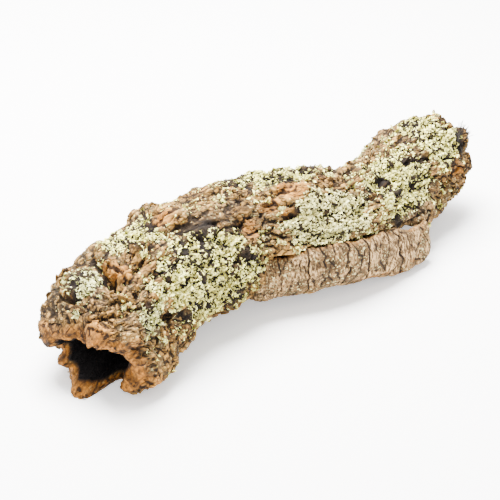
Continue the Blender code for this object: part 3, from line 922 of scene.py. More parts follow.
class Finish:
    """A material and the nodes that it is made of."""

    def __init__(self, name):
        self.material = bpy.data.materials.new(name)
        self.material.use_nodes = True
        self.nodes = self.material.node_tree.nodes
        self.links = self.material.node_tree.links
        self.shader = self.nodes["Principled BSDF"]
        self.shader.inputs["Metallic"].default_value = 0.0
        self.shader.inputs["Specular IOR Level"].default_value = SHINE
        self.place = self.add("ShaderNodeTexCoord", {}, {}, "Object")

    def connect(self, socket, value):
        """Links a wire to the socket, or sets it to a plain value."""
        if isinstance(value, Wire):
            self.links.new(value.socket, socket)
        else:
            socket.default_value = value

    def add(self, kind, settings, inputs, output=0):
        """A new node of this kind, and the wire from its output."""
        node = self.nodes.new(kind)
        for key, value in settings.items():
            setattr(node, key, value)
        for key, value in inputs.items():
            self.connect(node.inputs[key], value)
        return Wire(self, node.outputs[output])

    def noise(self, size, detail=4.0, roughness=0.6, place=None, output=0):
        """Noise with features of a size in metres, about 0.3 to 0.7."""
        inputs = {"Vector": place or self.place, "Scale": 1 / size, "Detail": detail}
        inputs["Roughness"] = roughness
        return self.add("ShaderNodeTexNoise", {}, inputs, output)

    def cracks(self, size, width, place):
        """1 in the gaps between cells of a size, 0 elsewhere; width is a share of the size."""
        inputs = {"Vector": place, "Scale": 1 / size}
        edge = self.add("ShaderNodeTexVoronoi", {"feature": "DISTANCE_TO_EDGE"}, inputs)
        return 1 - edge.between(width * 0.3, width)

    def stretched(self, scale, place=None):
        """The coordinates scaled by these numbers."""
        inputs = {0: place or self.place, 1: scale}
        return self.add("ShaderNodeVectorMath", {"operation": "MULTIPLY"}, inputs)

    def wandering(self, place, size, reach):
        """The coordinates moved about by noise, so that a pattern on them wanders."""
        cloud = self.noise(size, 2, 0.5, place, "Color")
        moved = {0: cloud, 1: (0.5, 0.5, 0.5)}
        middle = self.add("ShaderNodeVectorMath", {"operation": "SUBTRACT"}, moved)
        scaled = self.stretched((reach, reach, reach), middle)
        return self.add("ShaderNodeVectorMath", {"operation": "ADD"}, {0: place, 1: scaled})

    def value(self, name):
        """The number that the mesh carries at each point."""
        settings = {"attribute_name": name}
        return self.add("ShaderNodeAttribute", settings, {}, "Fac")

    def vector(self, name):
        """The vector that the mesh carries at each point."""
        settings = {"attribute_name": name}
        return self.add("ShaderNodeAttribute", settings, {}, "Vector")

    def mix(self, share, first, second):
        """The first colour where share is 0 and the second where it is 1."""
        first = first if isinstance(first, Wire) else (*first, 1.0)
        second = second if isinstance(second, Wire) else (*second, 1.0)
        inputs = {0: share, MIX_FIRST: first, MIX_SECOND: second}
        return self.add("ShaderNodeMix", {"data_type": "RGBA"}, inputs, MIX_RESULT)

    def bumps(self, height, distance):
        """A normal that follows the height."""
        return self.add("ShaderNodeBump", {}, {"Height": height, "Distance": distance})

    def finish(self, colour, roughness, normal=None):
        """The material with its colour, roughness and normal in place."""
        self.connect(self.shader.inputs["Base Color"], colour)
        self.connect(self.shader.inputs["Roughness"], roughness)
        if normal is not None:
            self.connect(self.shader.inputs["Normal"], normal)
        return self.material


def cork_finish(settings):
    """Bark: brown and grey plates, furrows and hollows painted black as painted shade, painted
    highlights on raised edges, orange where it is worn, beige on the strip.
    """
    made = Finish("cork bark")
    cavity, crest = made.value("cavity"), made.value("crest")
    worn, pale = made.value("worn"), made.value("pale")
    hollow, under = made.value("hollow"), made.value("shade_under_lichen")
    number, place = made.value("tone"), made.vector("grain_place")
    broad = made.noise(30 * MM, 3, 0.5, place)
    flecks = made.noise(5 * MM, 5, 0.7, place)
    grains = made.noise(1.5 * MM, 4, 0.75, place)
    wandering = made.wandering(place, 9 * MM, 5 * MM)
    streaks = made.noise(3.2 * MM, 4, 0.65, made.stretched((0.3, 1, 1), wandering))
    fine_cracks = made.cracks(5 * MM, 0.22, made.stretched((0.5, 1, 1), wandering))
    wide_cracks = made.cracks(12 * MM, 0.12, made.stretched((0.6, 1, 1), wandering))
    broken = fine_cracks * flecks.between(0.36, 0.5) * (1 - worn * 0.6)
    gaps = broken.most(wide_cracks * broad.between(0.45, 0.6)) * (1 - pale * 0.75)

    # The plates: dark, brown and light, grey where they are weathered.
    tone = flecks * 0.5 + streaks * 0.5 + (number - 0.5) * 0.22 + (grains - 0.5) * 0.35
    colour = made.mix(tone.between(0.40, 0.51), settings.cork_dark, settings.cork_mid)
    colour = made.mix(tone.between(0.50, 0.62) * 0.9, colour, settings.cork_light)
    greyness = (broad + flecks * 0.5).between(0.64, 0.86)
    colour = made.mix(greyness * 0.6, colour, settings.cork_grey)
    # Painted highlight: lighter on raised edges and plates (the crest), together with their worn
    # light edges.
    colour = made.mix(crest * 0.45, colour, settings.cork_light)

    # The strip and the other pale places: beige, with brown stains, fibres and blots.
    fibres = made.noise(2.0 * MM, 4, 0.75, made.stretched((1, 1, 0.25)))
    stains = (broad * 0.6 + made.noise(9 * MM, 4, 0.65, place) * 0.5).between(0.48, 0.62)
    beige = made.mix(stains * 0.75, settings.strip_beige, settings.cork_mid)
    beige = made.mix(fibres.between(0.44, 0.56), settings.strip_brown, beige)
    blots = made.noise(15 * MM, 4, 0.7, place).between(0.47, 0.57)
    beige = made.mix(blots * 0.85, beige, settings.strip_brown)
    beige = made.mix(grains.between(0.6, 0.68) * 0.8, beige, settings.strip_brown)
    colour = made.mix((pale * 1.5 * (0.4 + flecks)).clamped(), colour, beige)

    # The worn places: brown and orange, light on their crumbs and on their raised edges; the light
    # on the edges is partly painted highlight.
    wear = (worn * 1.35 * (flecks * 0.9 + grains * 0.5)).between(0.25, 0.6)
    orange = made.mix(streaks.between(0.38, 0.6), settings.worn_brown, settings.worn_orange)
    orange = made.mix((crest * 0.7 + grains.between(0.5, 0.7) * 0.3), orange, settings.worn_light)
    colour = made.mix(wear, colour, orange)

    # The smooth plate, and specks of young lichen on the bare bark.
    colour = made.mix(made.value("smooth") * flecks.between(0.3, 0.5), colour, settings.plate_brown)
    specks = made.noise(2.4 * MM, 3, 0.6, place).between(0.56, 0.64)
    patches = made.noise(30 * MM, 2, 0.5, place).between(0.42, 0.6)
    bare = (1 - hollow - worn).clamped() * (1 - cavity).clamped()
    colour = made.mix(specks * patches * bare * 0.8, colour, settings.lichen_speck)

    # Painted shade: the furrows, the bark under the lichen and the inside are painted dark.
    # The cavity is how far a point lies in a furrow, under a ledge or in a pit. It is painted black
    # as shade, along with the dark cracks between plates and dark grains.
    shade_and_crack_darkness = (cavity * 1.2 + gaps * 0.75 + grains.between(0.6, 0.75) * 0.3).clamped()
    colour = made.mix(shade_and_crack_darkness * 0.94, colour, settings.furrow_shade_black)
    # Painted shade: the bark under the lichen is painted black, for the shade between and under the
    # lobes.
    colour = made.mix((under * 0.95).clamped(), colour, settings.furrow_shade_black)
    # The inside is painted near black: its own dark cork, and painted shade.
    colour = made.mix(hollow.clamped(), colour, settings.inside_shade_brown)
    height = flecks * 0.5 + grains * 0.4 + streaks * 0.5 - gaps * 0.7
    return made.finish(colour, ROUGHNESS, made.bumps(height, 1.6 * MM))


def lichen_finish(name, light, dark, foot_shade):
    """Lobes: pale at the tips with a painted highlight on their rims, darker towards their feet as
    painted shade, and different from one to the next.
    """
    made = Finish(name)
    tip, tone = made.value("tip"), made.value("tone")
    cloud = made.noise(12 * MM, 2)
    fine = made.noise(1.0 * MM, 2)
    shade = (tone * 0.6 + cloud * 0.5 + fine * 0.35).between(0.35, 0.85)
    colour = made.mix(shade, dark, light)
    # Painted highlight: the rims of the lobes' tips go paler.
    edge = (tip - 0.7).clamped() * 2.2 * tone.between(0.2, 0.9)
    colour = made.mix(edge, colour, LICHEN_EDGE_HIGHLIGHT)
    # Painted shade: the lobes darken to near black towards their feet, where they shade one
    # another.
    colour = made.mix((1 - tip).clamped() ** 1.5, colour, foot_shade)
    return made.finish(colour, ROUGHNESS, made.bumps(fine, 0.4 * MM))


def twig_finish(colour):
    """Twigs: almost black, a little lighter in places."""
    made = Finish("dead twigs")
    tone = made.noise(2 * MM, 2).between(0.35, 0.7)
    lighter = tuple(2.6 * part for part in colour)
    return made.finish(made.mix(tone, tuple(colour), lighter), TWIG_ROUGHNESS)


def lobed_rosette(name, seed, lobes, length, width, lift):
    """A small rosette of curled, forked lobes, flat at its middle, with each lobe's tip marked."""
    turn = np.random.default_rng(seed)
    widths = (0.6, 1.2, 1.1)
    rows = len(widths)
    points, faces, tips = [], [], []
    for lobe in range(lobes):
        heading = 2 * math.pi * (lobe + turn.uniform(-0.35, 0.35)) / lobes
        reach = length * turn.uniform(0.6, 1.15)
        curl = lift * turn.uniform(0.3, 1.3)
        bend = turn.uniform(-1.2, 1.2)
        start = len(points)
        for row in range(rows):
            share = row / (rows - 1)
            direction = heading + bend * share
            way = np.array([math.cos(direction), math.sin(direction), 0.0])
            across = np.array([-math.sin(direction), math.cos(direction), 0.0])
            half = width * widths[row] * turn.uniform(0.75, 1.25) / 2
            high = curl * math.sin(min(share * 1.9, 1.75))
            for side_step, raised, ahead in ((-1, 0.7, 0.0), (0, 0.0, -0.5), (1, 0.7, 0.0)):
                forked = ahead * half * (row == rows - 1)
                point = way * reach * share + across * half * side_step + way * forked
                point[2] = high + raised * half * share * turn.uniform(0.2, 1.8)
                points.append(point)
                tips.append(0.1 + 0.9 * share)
        for row in range(rows - 1):
            for step in range(2):
                corner = start + row * 3 + step
                faces.append((corner, corner + 3, corner + 4, corner + 1))
    mesh = mesh_from(name, np.array(points), faces)
    add_values(mesh, "tip", tips)
    return bpy.data.objects.new(name, mesh)


def bark_flake(name, seed, length, width, thickness):
    """A thin, closed, ragged flake of bark, longer on X, a little curled."""
    turn = np.random.default_rng(seed)
    corners = 7
    rim = []
    for corner in range(corners):
        heading = 2 * math.pi * (corner + turn.uniform(-0.3, 0.3)) / corners
        reach = turn.uniform(0.65, 1.15)
        rim.append((math.cos(heading) * reach * length / 2, math.sin(heading) * reach * width / 2))
    curl = turn.uniform(0.2, 0.9) * thickness
    points = [(0.0, 0.0, thickness)]
    for x, y in rim:
        points.append((x, y, thickness * turn.uniform(0.7, 1.1) + curl * (2 * x / length) ** 2))
    points += [(x * 0.94, y * 0.94, -thickness) for x, y in rim]
    points.append((0.0, 0.0, -thickness))
    faces = []
    for corner in range(corners):
        here, after = 1 + corner, 1 + (corner + 1) % corners
        faces.append((0, here, after))
        faces.append((here, here + corners, after + corners, after))
        faces.append((2 * corners + 1, after + corners, here + corners))
    mesh = mesh_from(name, np.array(points), faces)
    # Painted highlight: the flake's top, most of all its rim, is marked as crest, which the cork
    # finish paints lighter; its underside is not.
    add_values(mesh, "crest", [0.35] + [0.8] * corners + [0.0] * (corners + 1))
    return bpy.data.objects.new(name, mesh)


def twig_spray(name, seed, twigs, length, radius):
    """A spray of thin, three-sided, tapering twigs from one foot."""
    turn = np.random.default_rng(seed)
    rows = 5
    points, faces = [], []
    for _ in range(twigs):
        heading = turn.uniform(0, 2 * math.pi)
        lean = turn.uniform(0.1, 0.6)
        way = np.array([math.cos(heading) * lean, math.sin(heading) * lean, 0.0]) + TWIG_LEAN
        way /= np.linalg.norm(way)
        bend = turn.uniform(-0.5, 0.5, 3)
        reach = length * turn.uniform(0.5, 1.0)
        start = len(points)
        for row in range(rows):
            share = row / (rows - 1)
            middle = (way * share + bend * share**2 * 0.6) * reach
            thick = radius * (1 - 0.6 * share)
            for corner in range(3):
                spin = 2 * math.pi * corner / 3
                points.append(middle + thick * np.array([math.cos(spin), math.sin(spin), 0]))
        for row in range(rows - 1):
            for corner in range(3):
                here, after = start + row * 3 + corner, start + row * 3 + (corner + 1) % 3
                faces.append((here, after, after + 3, here + 3))
        faces.append((start + 2, start + 1, start))
        end = start + (rows - 1) * 3
        faces.append((end, end + 1, end + 2))
    return bpy.data.objects.new(name, mesh_from(name, np.array(points), faces))


class Growth:
    """A Geometry Nodes tree that scatters copies of some meshes over a surface."""

    def __init__(self, name, variants, material):
        self.tree = bpy.data.node_groups.new(name, "GeometryNodeTree")
        self.socket("Surface", "INPUT", "NodeSocketGeometry")
        for number in ("Density", "Smallest", "Largest", "Tilt", "Spin"):
            self.socket(number, "INPUT", "NodeSocketFloat")
        self.socket("Seed", "INPUT", "NodeSocketInt")
        self.socket("Grown", "OUTPUT", "NodeSocketGeometry")
        given = self.node("NodeGroupInput").outputs
        cover = self.node("GeometryNodeInputNamedAttribute", data_type="FLOAT")
        cover.inputs["Name"].default_value = "cover"
        wanted = self.node("ShaderNodeMath", operation="MULTIPLY")
        self.link(cover.outputs["Attribute"], wanted.inputs[0])
        self.link(given["Density"], wanted.inputs[1])
        scatter = self.node("GeometryNodeDistributePointsOnFaces")
        self.link(given["Surface"], scatter.inputs["Mesh"])
        self.link(wanted.outputs[0], scatter.inputs["Density"])
        self.link(given["Seed"], scatter.inputs["Seed"])
        copies = self.node("GeometryNodeInstanceOnPoints")
        copies.inputs["Pick Instance"].default_value = True
        self.link(scatter.outputs["Points"], copies.inputs["Points"])
        self.link(self.models(variants), copies.inputs["Instance"])
        self.link(self.rotation(scatter, given), copies.inputs["Rotation"])
        self.link(self.size(given), copies.inputs["Scale"])
        toned = self.node("GeometryNodeStoreNamedAttribute", data_type="FLOAT", domain="INSTANCE")
        toned.inputs["Name"].default_value = "tone"
        self.link(copies.outputs[0], toned.inputs["Geometry"])
        self.link(self.chance(given, 0.0, 1.0, 3), toned.inputs["Value"])
        real = self.node("GeometryNodeRealizeInstances")
        self.link(toned.outputs[0], real.inputs[0])
        placed = self.node("GeometryNodeStoreNamedAttribute", data_type="FLOAT_VECTOR")
        placed.inputs["Name"].default_value = "grain_place"
        self.link(real.outputs[0], placed.inputs["Geometry"])
        self.link(self.node("GeometryNodeInputPosition").outputs[0], placed.inputs["Value"])
        painted = self.node("GeometryNodeSetMaterial")
        painted.inputs["Material"].default_value = material
        self.link(placed.outputs[0], painted.inputs["Geometry"])
        self.link(painted.outputs[0], self.node("NodeGroupOutput").inputs[0])

    def socket(self, name, way, kind):
        self.tree.interface.new_socket(name, in_out=way, socket_type=kind)

    def node(self, kind, **settings):
        made = self.tree.nodes.new(kind)
        for key, value in settings.items():
            setattr(made, key, value)
        return made

    def link(self, start, end):
        self.tree.links.new(start, end)

    def chance(self, given, low, high, offset):
        """A number from low to high that differs from copy to copy."""
        seed = self.node("ShaderNodeMath", operation="ADD")
        self.link(given["Seed"], seed.inputs[0])
        seed.inputs[1].default_value = offset
        made = self.node("FunctionNodeRandomValue", data_type="FLOAT")
        made.inputs[2].default_value = low
        made.inputs[3].default_value = high
        self.link(seed.outputs[0], made.inputs["Seed"])
        return made.outputs[1]

    def models(self, variants):
        """The meshes to copy, one instance each."""
        joined = self.node("GeometryNodeJoinGeometry")
        for variant in variants:
            info = self.node("GeometryNodeObjectInfo")
            info.inputs["Object"].default_value = variant
            info.inputs["As Instance"].default_value = True
            self.link(info.outputs["Geometry"], joined.inputs[0])
        return joined.outputs[0]

    def rotation(self, scatter, given):
        """Upright on the surface and along the grain, tilted a little and turned by chance."""
        spin = self.node("ShaderNodeCombineXYZ")
        for axis, offset in ((0, 5), (1, 6)):
            tilt = self.node("ShaderNodeMath", operation="MULTIPLY")
            self.link(self.chance(given, -1.0, 1.0, offset), tilt.inputs[0])
            self.link(given["Tilt"], tilt.inputs[1])
            self.link(tilt.outputs[0], spin.inputs[axis])
        swing = self.node("ShaderNodeMath", operation="MULTIPLY")
        self.link(self.chance(given, -1.0, 1.0, 7), swing.inputs[0])
        self.link(given["Spin"], swing.inputs[1])
        self.link(swing.outputs[0], spin.inputs[2])
        turned = self.node("FunctionNodeEulerToRotation")
        self.link(spin.outputs[0], turned.inputs[0])
        grain = self.node("GeometryNodeInputNamedAttribute", data_type="FLOAT_VECTOR")
        grain.inputs["Name"].default_value = "grain"
        along = self.node("FunctionNodeAlignRotationToVector", axis="X", pivot_axis="Z")
        self.link(scatter.outputs["Rotation"], along.inputs["Rotation"])
        self.link(grain.outputs["Attribute"], along.inputs["Vector"])
        both = self.node("FunctionNodeRotateRotation", rotation_space="LOCAL")
        self.link(along.outputs[0], both.inputs[0])
        self.link(turned.outputs[0], both.inputs[1])
        return both.outputs[0]

    def size(self, given):
        """A scale that differs from copy to copy."""
        spread = self.node("ShaderNodeMapRange")
        self.link(self.chance(given, 0.0, 1.0, 9), spread.inputs["Value"])
        self.link(given["Smallest"], spread.inputs["To Min"])
        self.link(given["Largest"], spread.inputs["To Max"])
        return spread.outputs[0]

    def grow(self, surface, values):
        """The copies on the surface as a plain mesh. values names the inputs that are set."""
        modifier = surface.modifiers.new("growth", "NODES")
        modifier.node_group = self.tree
        for item in self.tree.interface.items_tree:
            if item.name in values:
                modifier[item.identifier] = values[item.name]
        bpy.context.view_layer.update()
        graph = bpy.context.evaluated_depsgraph_get()
        mesh = bpy.data.meshes.new_from_object(surface.evaluated_get(graph))
        surface.modifiers.remove(modifier)
        return mesh


@functools.lru_cache
def tube_with(columns, outside_rows, inside_rows, rim_rows):
    """The tube for these numbers, made once."""
    return Tube(columns, outside_rows, inside_rows, rim_rows)


def tube_of(settings):
    """The tube that the settings ask for."""
    rows = (settings.outside_rows, settings.inside_rows, settings.rim_rows)
    return tube_with(settings.columns, *rows)


def lichen_on(tube):
    """How much lichen covers each point of the tube, from all the patches."""
    most = np.zeros(len(tube.points))
    for patch in LICHEN_PATCHES:
        most = np.maximum(most, tube.cover(patch))
    return most


def bed_for(tube, cover, name):
    """A loose sheet of the bark's outer faces, with how much grows at each point."""
    cover = cover * (tube.inward < 1e-9)
    faces = tube.outside_faces()
    kept = faces[cover[faces].max(axis=1) > THINNEST_COVER]
    used, corners = np.unique(kept, return_inverse=True)
    sheet = mesh_from(name, tube.points[used], corners.reshape(-1, 4))
    add_values(sheet, "cover", cover[used])
    add_values(sheet, "worn", tube.spots(ORANGE_SPOTS)[used])
    add_values(sheet, "pale", tube.spots(PALE_SPOTS)[used])
    add_vectors(sheet, "grain", tube.grain()[used])
    return shown(name, sheet)


def clumped(tube, patch):
    """The cover of a patch of lichen in clumps, thick in its middle, with small ones round it."""
    name, at, turn, half_length, half_width, tint = patch
    thickness, clumping = LICHEN_THICKNESS[tint]
    clumps = noise(tube.points, 13 * MM, 161) + 0.6 * noise(tube.points, 4 * MM, 162)
    core = tube.cover(patch) * np.clip(thickness + clumping * clumps, 0, THICKEST_COVER)
    halo = tube.cover((name, at, turn, half_length * HALO_REACH, half_width * HALO_REACH))
    grown = np.maximum(core, HALO_THICKNESS * halo * smooth_step(clumps, 0.1, 0.5))
    bare = np.maximum(tube.spots(SMOOTH_SPOTS), 0.9 * tube.spots(ORANGE_SPOTS))
    bare = np.maximum(bare, tube.spots(TUFT_SPOTS))
    return grown * (1 - smooth_step(bare, 0.15, 0.6))


def grown_mesh(growth, bed, values, name):
    """The copies that grew on the bed, inside the part's own box, as one mesh."""
    mesh = growth.grow(bed, values)
    bpy.data.objects.remove(bed)
    if not mesh.polygons:
        raise RuntimeError(f"nothing grew for {name}")
    places = np.empty(len(mesh.vertices) * 3, np.float32)
    mesh.vertices.foreach_get("co", places)
    places = kept_inside(places.reshape(-1, 3))
    mesh.vertices.foreach_set("co", places.astype(np.float32).reshape(-1))
    mesh.update()
    return mesh


def finished(name, mesh, slot, *nodes):
    """The piece, riding on the branch and standing for these nodes."""
    piece = shown(name, mesh)
    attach(piece, "root")
    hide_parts(*nodes)


def removed(objects):
    """Takes away objects that have served."""
    for obj in objects:
        bpy.data.objects.remove(obj)


def colour_setting(name, description, red, green, blue):
    """A colour that the user can change."""
    colour = (red, green, blue)
    return FloatVectorProperty(name=name, description=description, subtype="COLOR", default=colour)


def count_setting(name, description, default):
    """A whole number that the user can change."""
    return IntProperty(name=name, description=description, default=default)


def number_setting(name, description, default):
    """A number that the user can change."""
    return FloatProperty(name=name, description=description, default=default)


def length_setting(name, description, default):
    """A length that the user can change, in metres."""
    return FloatProperty(name=name, description=description, default=default, unit="LENGTH")


def power_setting(name, description, default):
    """A light's power that the user can change, in watts."""
    return FloatProperty(name=name, description=description, default=default, unit="POWER")


def angle_setting(name, description, degrees):
    """An angle that the user can change."""
    angle = math.radians(degrees)
    return FloatProperty(name=name, description=description, default=angle, subtype="ANGLE")


class CorkBranchBark(bpy.types.PropertyGroup):
    columns: count_setting("Columns", "Points round the tube", 270)
    outside_rows: count_setting("Outer rows", "Points along its outer face", 310)
    inside_rows: count_setting("Inner rows", "Points along its inner face", 26)
    rim_rows: count_setting("Rim rows", "Points across each broken rim", 14)
    flakes: number_setting("Flakes", "Loose flakes a square metre", 21000.0)
    flake_length: length_setting("Flake length", "Length of a flake", 6.5 * MM)
    flake_width: length_setting("Flake width", "Width of a flake", 3.8 * MM)
    flake_thickness: length_setting("Flake thickness", "Thickness of a flake", 0.6 * MM)
    seed: count_setting("Seed", "Changes where the flakes lie", 11)
    cork_dark: colour_setting("Dark cork", "Colour of the darkest plates", 0.034, 0.016, 0.006)
    cork_mid: colour_setting("Brown cork", "Colour of most plates", 0.165, 0.08, 0.02)
    cork_grey: colour_setting("Grey cork", "Colour of weathered plates", 0.18, 0.12, 0.05)
    # Also the painted highlight on raised edges and plates.
    cork_light: colour_setting("Light cork", "Colour of worn edges", 0.5, 0.265, 0.06)
    worn_orange: colour_setting("Worn orange", "Colour of freshly broken cork", 0.36, 0.135, 0.018)
    worn_brown: colour_setting("Worn brown", "Colour of older broken cork", 0.15, 0.065, 0.016)
    # Also the painted highlight on the raised edges of worn places.
    worn_light: colour_setting("Worn light", "Colour of its crumbs", 0.52, 0.25, 0.05)
    strip_beige: colour_setting("Beige", "Colour of the strip", 0.6, 0.38, 0.17)
    strip_brown: colour_setting("Beige brown", "Colour of its streaks", 0.06, 0.034, 0.014)
    plate_brown: colour_setting("Smooth brown", "Colour of a smooth plate", 0.24, 0.125, 0.04)
    # Painted shade: the black of the furrows, the hollows under ledges, the pits and the bark under
    # the lichen.
    furrow_shade_black: colour_setting("Furrows", "Colour deep in the furrows", 0.006, 0.004, 0.003)
    # Near black: the inside's own dark cork with painted shade.
    inside_shade_brown: colour_setting("Inside", "Colour inside the hollow", 0.004, 0.003, 0.003)
    lichen_speck: colour_setting("Specks", "Colour of young lichen on it", 0.75, 0.66, 0.32)


class CorkBranchLichen(bpy.types.PropertyGroup):
    density: number_setting("Density", "Rosettes a square metre", 158000.0)
    lobe_length: length_setting("Lobe length", "Length of one lobe", 3.4 * MM)
    lobe_width: length_setting("Lobe width", "Width of one lobe", 2.1 * MM)
    lobe_lift: length_setting("Lobe lift", "How high a lobe curls", 2.3 * MM)
    seed: count_setting("Seed", "Changes where the rosettes fall", 5)
    yellow_green: colour_setting("Yellow-green", "Colour of most lobes", 0.98, 0.93, 0.24)
    cream: colour_setting("Cream", "Colour of the lobes above the crack", 0.99, 0.93, 0.34)
    grey_green: colour_setting("Grey-green", "Colour of the lobes by the fold", 0.7, 0.69, 0.24)
    # Painted shade at the foot of the lobes.
    foot: colour_setting("Feet", "Colour at the foot of the lobes", 0.02, 0.016, 0.007)


class CorkBranchTwigs(bpy.types.PropertyGroup):
    density: number_setting("Density", "Sprays a square metre", 240000.0)
    twigs: count_setting("Twigs", "Twigs in one spray", 7)
    length: length_setting("Length", "Length of the longest twig", 18 * MM)
    radius: length_setting("Radius", "Radius of a twig at its foot", 1.2 * MM)
    seed: count_setting("Seed", "Changes where the sprays stand", 3)
    colour: colour_setting("Twigs", "Colour of most twigs", 0.012, 0.010, 0.008)


class CorkBranchStage(bpy.types.PropertyGroup):
    azimuth: angle_setting("Azimuth", "Camera's angle round the branch", -42)
    elevation: angle_setting("Elevation", "Camera's angle above the floor", 32)
    distance: length_setting("Distance", "Camera's distance", 1.5)
    lens: number_setting("Lens", "Focal length in millimetres", 108.0)
    look_at: FloatVectorProperty(
        name="Look at", description="Point on the floor in the middle of the view",
        subtype="XYZ", default=(0.0206, 0.0603, 0.0),
    )
    floor: colour_setting("Floor", "Colour of the floor", 0.88, 0.87, 0.86)
    floor_glow: number_setting("Floor glow", "Light that the floor gives", 0.62)
    room_light: number_setting("Room light", "Light from all round", 2.0)
    overhead_power: power_setting("Overhead light", "Power of the light above", 290.0)
    left_power: power_setting("Left light", "Power of the light at the left", 3.0)


class BarkOperator(bpy.types.Operator):
    """Makes the bark's tube in full relief"""

    bl_idname = "cork_branch.bark"
    bl_label = "Bark"

    def execute(self, context):
        settings = context.scene.cork_branch_bark
        tube = tube_of(settings)
        mesh = mesh_from("bark_in_relief", tube.points, tube.faces())
        outside = 1 - smooth_step(tube.inward, 0.0, 0.3)
        across = np.sin(math.pi * tube.inward)
        # Painted shade: the low pits of the broken rims join the cavity, which the cork finish
        # paints black.
        pits = np.clip(0.1 - tube.rim_height / (1.6 * MM), 0, 1)
        worn = np.maximum(tube.spots(ORANGE_SPOTS), 0.9 * across)
        # The dark places are painted shade on the mouth's left rim and in the far pocket, and just
        # darker elsewhere. In blots and off the crests, they join the cavity, which the cork finish
        # paints black.
        blots = np.clip(0.62 + 1.1 * noise(tube.points, 7 * MM, 191), 0, 1)
        darkening_blots = tube.spots(DARK_AND_SHADED_SPOTS) * blots * (1 - tube.crest())
        cavity = np.maximum(tube.cavity() * outside, 0.85 * darkening_blots)
        add_values(mesh, "cavity", np.maximum(cavity, pits * across))
        # The crest, which the cork finish paints lighter as a painted highlight.
        add_values(mesh, "crest", tube.crest() * outside)
        add_values(mesh, "tone", tube.number)
        add_values(mesh, "worn", worn)
        add_values(mesh, "pale", tube.spots(PALE_SPOTS) * outside)
        add_values(mesh, "smooth", 0.8 * tube.spots(SMOOTH_SPOTS[:1]) * outside)
        add_values(mesh, "hollow", smooth_step(tube.inward, 0.75, 1.0))
        # Painted shade under the lichen, for the cork finish to paint black.
        add_values(mesh, "shade_under_lichen", lichen_on(tube) * outside)
        add_vectors(mesh, "grain_place", tube.straight)
        mesh.materials.append(cork_finish(settings))
        mesh.shade_smooth()
        finished("bark_in_relief", mesh, "cork", "bark")
        return {"FINISHED"}


class StripOperator(bpy.types.Operator):
    """Makes the loose strip below the long crack"""

    bl_idname = "cork_branch.strip"
    bl_label = "Strip"

    def execute(self, context):
        points, faces, sunk, raised, rim = strip_sheet()
        mesh = mesh_from("loose_strip", points, faces)
        # Painted shade and highlight: the cork finish paints the strip's sunk cracks black and its
        # raised chips lighter.
        add_values(mesh, "cavity", sunk)
        add_values(mesh, "crest", raised)
        add_values(mesh, "tone", np.full(len(points), 0.5))
        # Painted shade: the strip is darker orange-brown towards the floor, in blots. This is
        # carried in the worn value together with the real wear of its rims.
        shaded_low = 1 - smooth_step(points[:, 2], STRIP_SHADE_FROM, STRIP_SHADE_TO)
        darkening_blots = np.clip(0.5 + 1.2 * noise(points, (22 * MM, 9 * MM, 9 * MM), 181), 0, 1)
        add_values(mesh, "worn", np.maximum(0.4 * rim, 0.5 * shaded_low * darkening_blots))
        add_values(mesh, "pale", 1 - 0.4 * rim)
        add_vectors(mesh, "grain_place", points[:, (0, 2, 1)])
        mesh.materials.append(bpy.data.materials["cork bark"])
        mesh.shade_smooth()
        finished("loose_strip", mesh, "cork", "bark")
        return {"FINISHED"}


class FlakesOperator(bpy.types.Operator):
    """Scatters loose flakes over the bare bark"""

    bl_idname = "cork_branch.flakes"
    bl_label = "Flakes"

    def execute(self, context):
        settings = context.scene.cork_branch_bark
        tube = tube_of(settings)
        bare = (1 - lichen_on(tube)) * (1 - 0.9 * tube.spots(SMOOTH_SPOTS))
        bare = bare * (1 - tube.spots(TUFT_SPOTS)) * (1 - 0.75 * tube.spots(DARK_AND_SHADED_SPOTS))
        patchy = np.clip(0.7 + 1.3 * noise(tube.points, 12 * MM, 171), 0.1, 1.4)
        sizes = (settings.flake_length, settings.flake_width, settings.flake_thickness / 2)
        variants = [bark_flake(f"flake_{seed}", seed, *sizes) for seed in (1, 2, 3, 4, 5)]
        growth = Growth("flakes", variants, bpy.data.materials["cork bark"])
        values = {"Density": settings.flakes, "Seed": settings.seed, **FLAKE_SPREAD}
        bed = bed_for(tube, bare * patchy, "bed_flakes")
        mesh = grown_mesh(growth, bed, values, "bark_flakes")
        finished("bark_flakes", mesh, "cork", "bark")
        removed(variants)
        return {"FINISHED"}


class LichenOperator(bpy.types.Operator):
    """Grows the lichen: small rosettes of curled lobes over each patch"""

    bl_idname = "cork_branch.lichen"
    bl_label = "Lichen"

    def execute(self, context):
        settings = context.scene.cork_branch_lichen
        tube = tube_of(context.scene.cork_branch_bark)
        sizes = (settings.lobe_length, settings.lobe_width, settings.lobe_lift)
        variants = [
            lobed_rosette(f"rosette_{seed}", seed, lobes, *sizes)
            for seed, lobes in ((1, 6), (2, 7), (3, 5), (4, 6), (5, 7))
        ]
        growths = {}
        for tint in LICHEN_THICKNESS:
            light = np.array(getattr(settings, tint))
            dark = light * LICHEN_SHADE
            name = f"lichen {tint.replace('_', ' ')}"
            finish = lichen_finish(name, tuple(light), tuple(dark), tuple(settings.foot))
            growths[tint] = Growth(f"lichen growth {tint}", variants, finish)
        for number, patch in enumerate(LICHEN_PATCHES):
            cover = clumped(tube, patch)
            seed = settings.seed + SEED_STEP * number
            values = {"Density": settings.density, "Seed": seed, **LICHEN_SPREAD}
            bed = bed_for(tube, cover, f"bed_{patch[0]}")
            mesh = grown_mesh(growths[patch[5]], bed, values, patch[0])
            mesh.shade_smooth()
            finished(f"{patch[0]}_lobes", mesh, "lichen", patch[0])
        removed(variants)
        return {"FINISHED"}


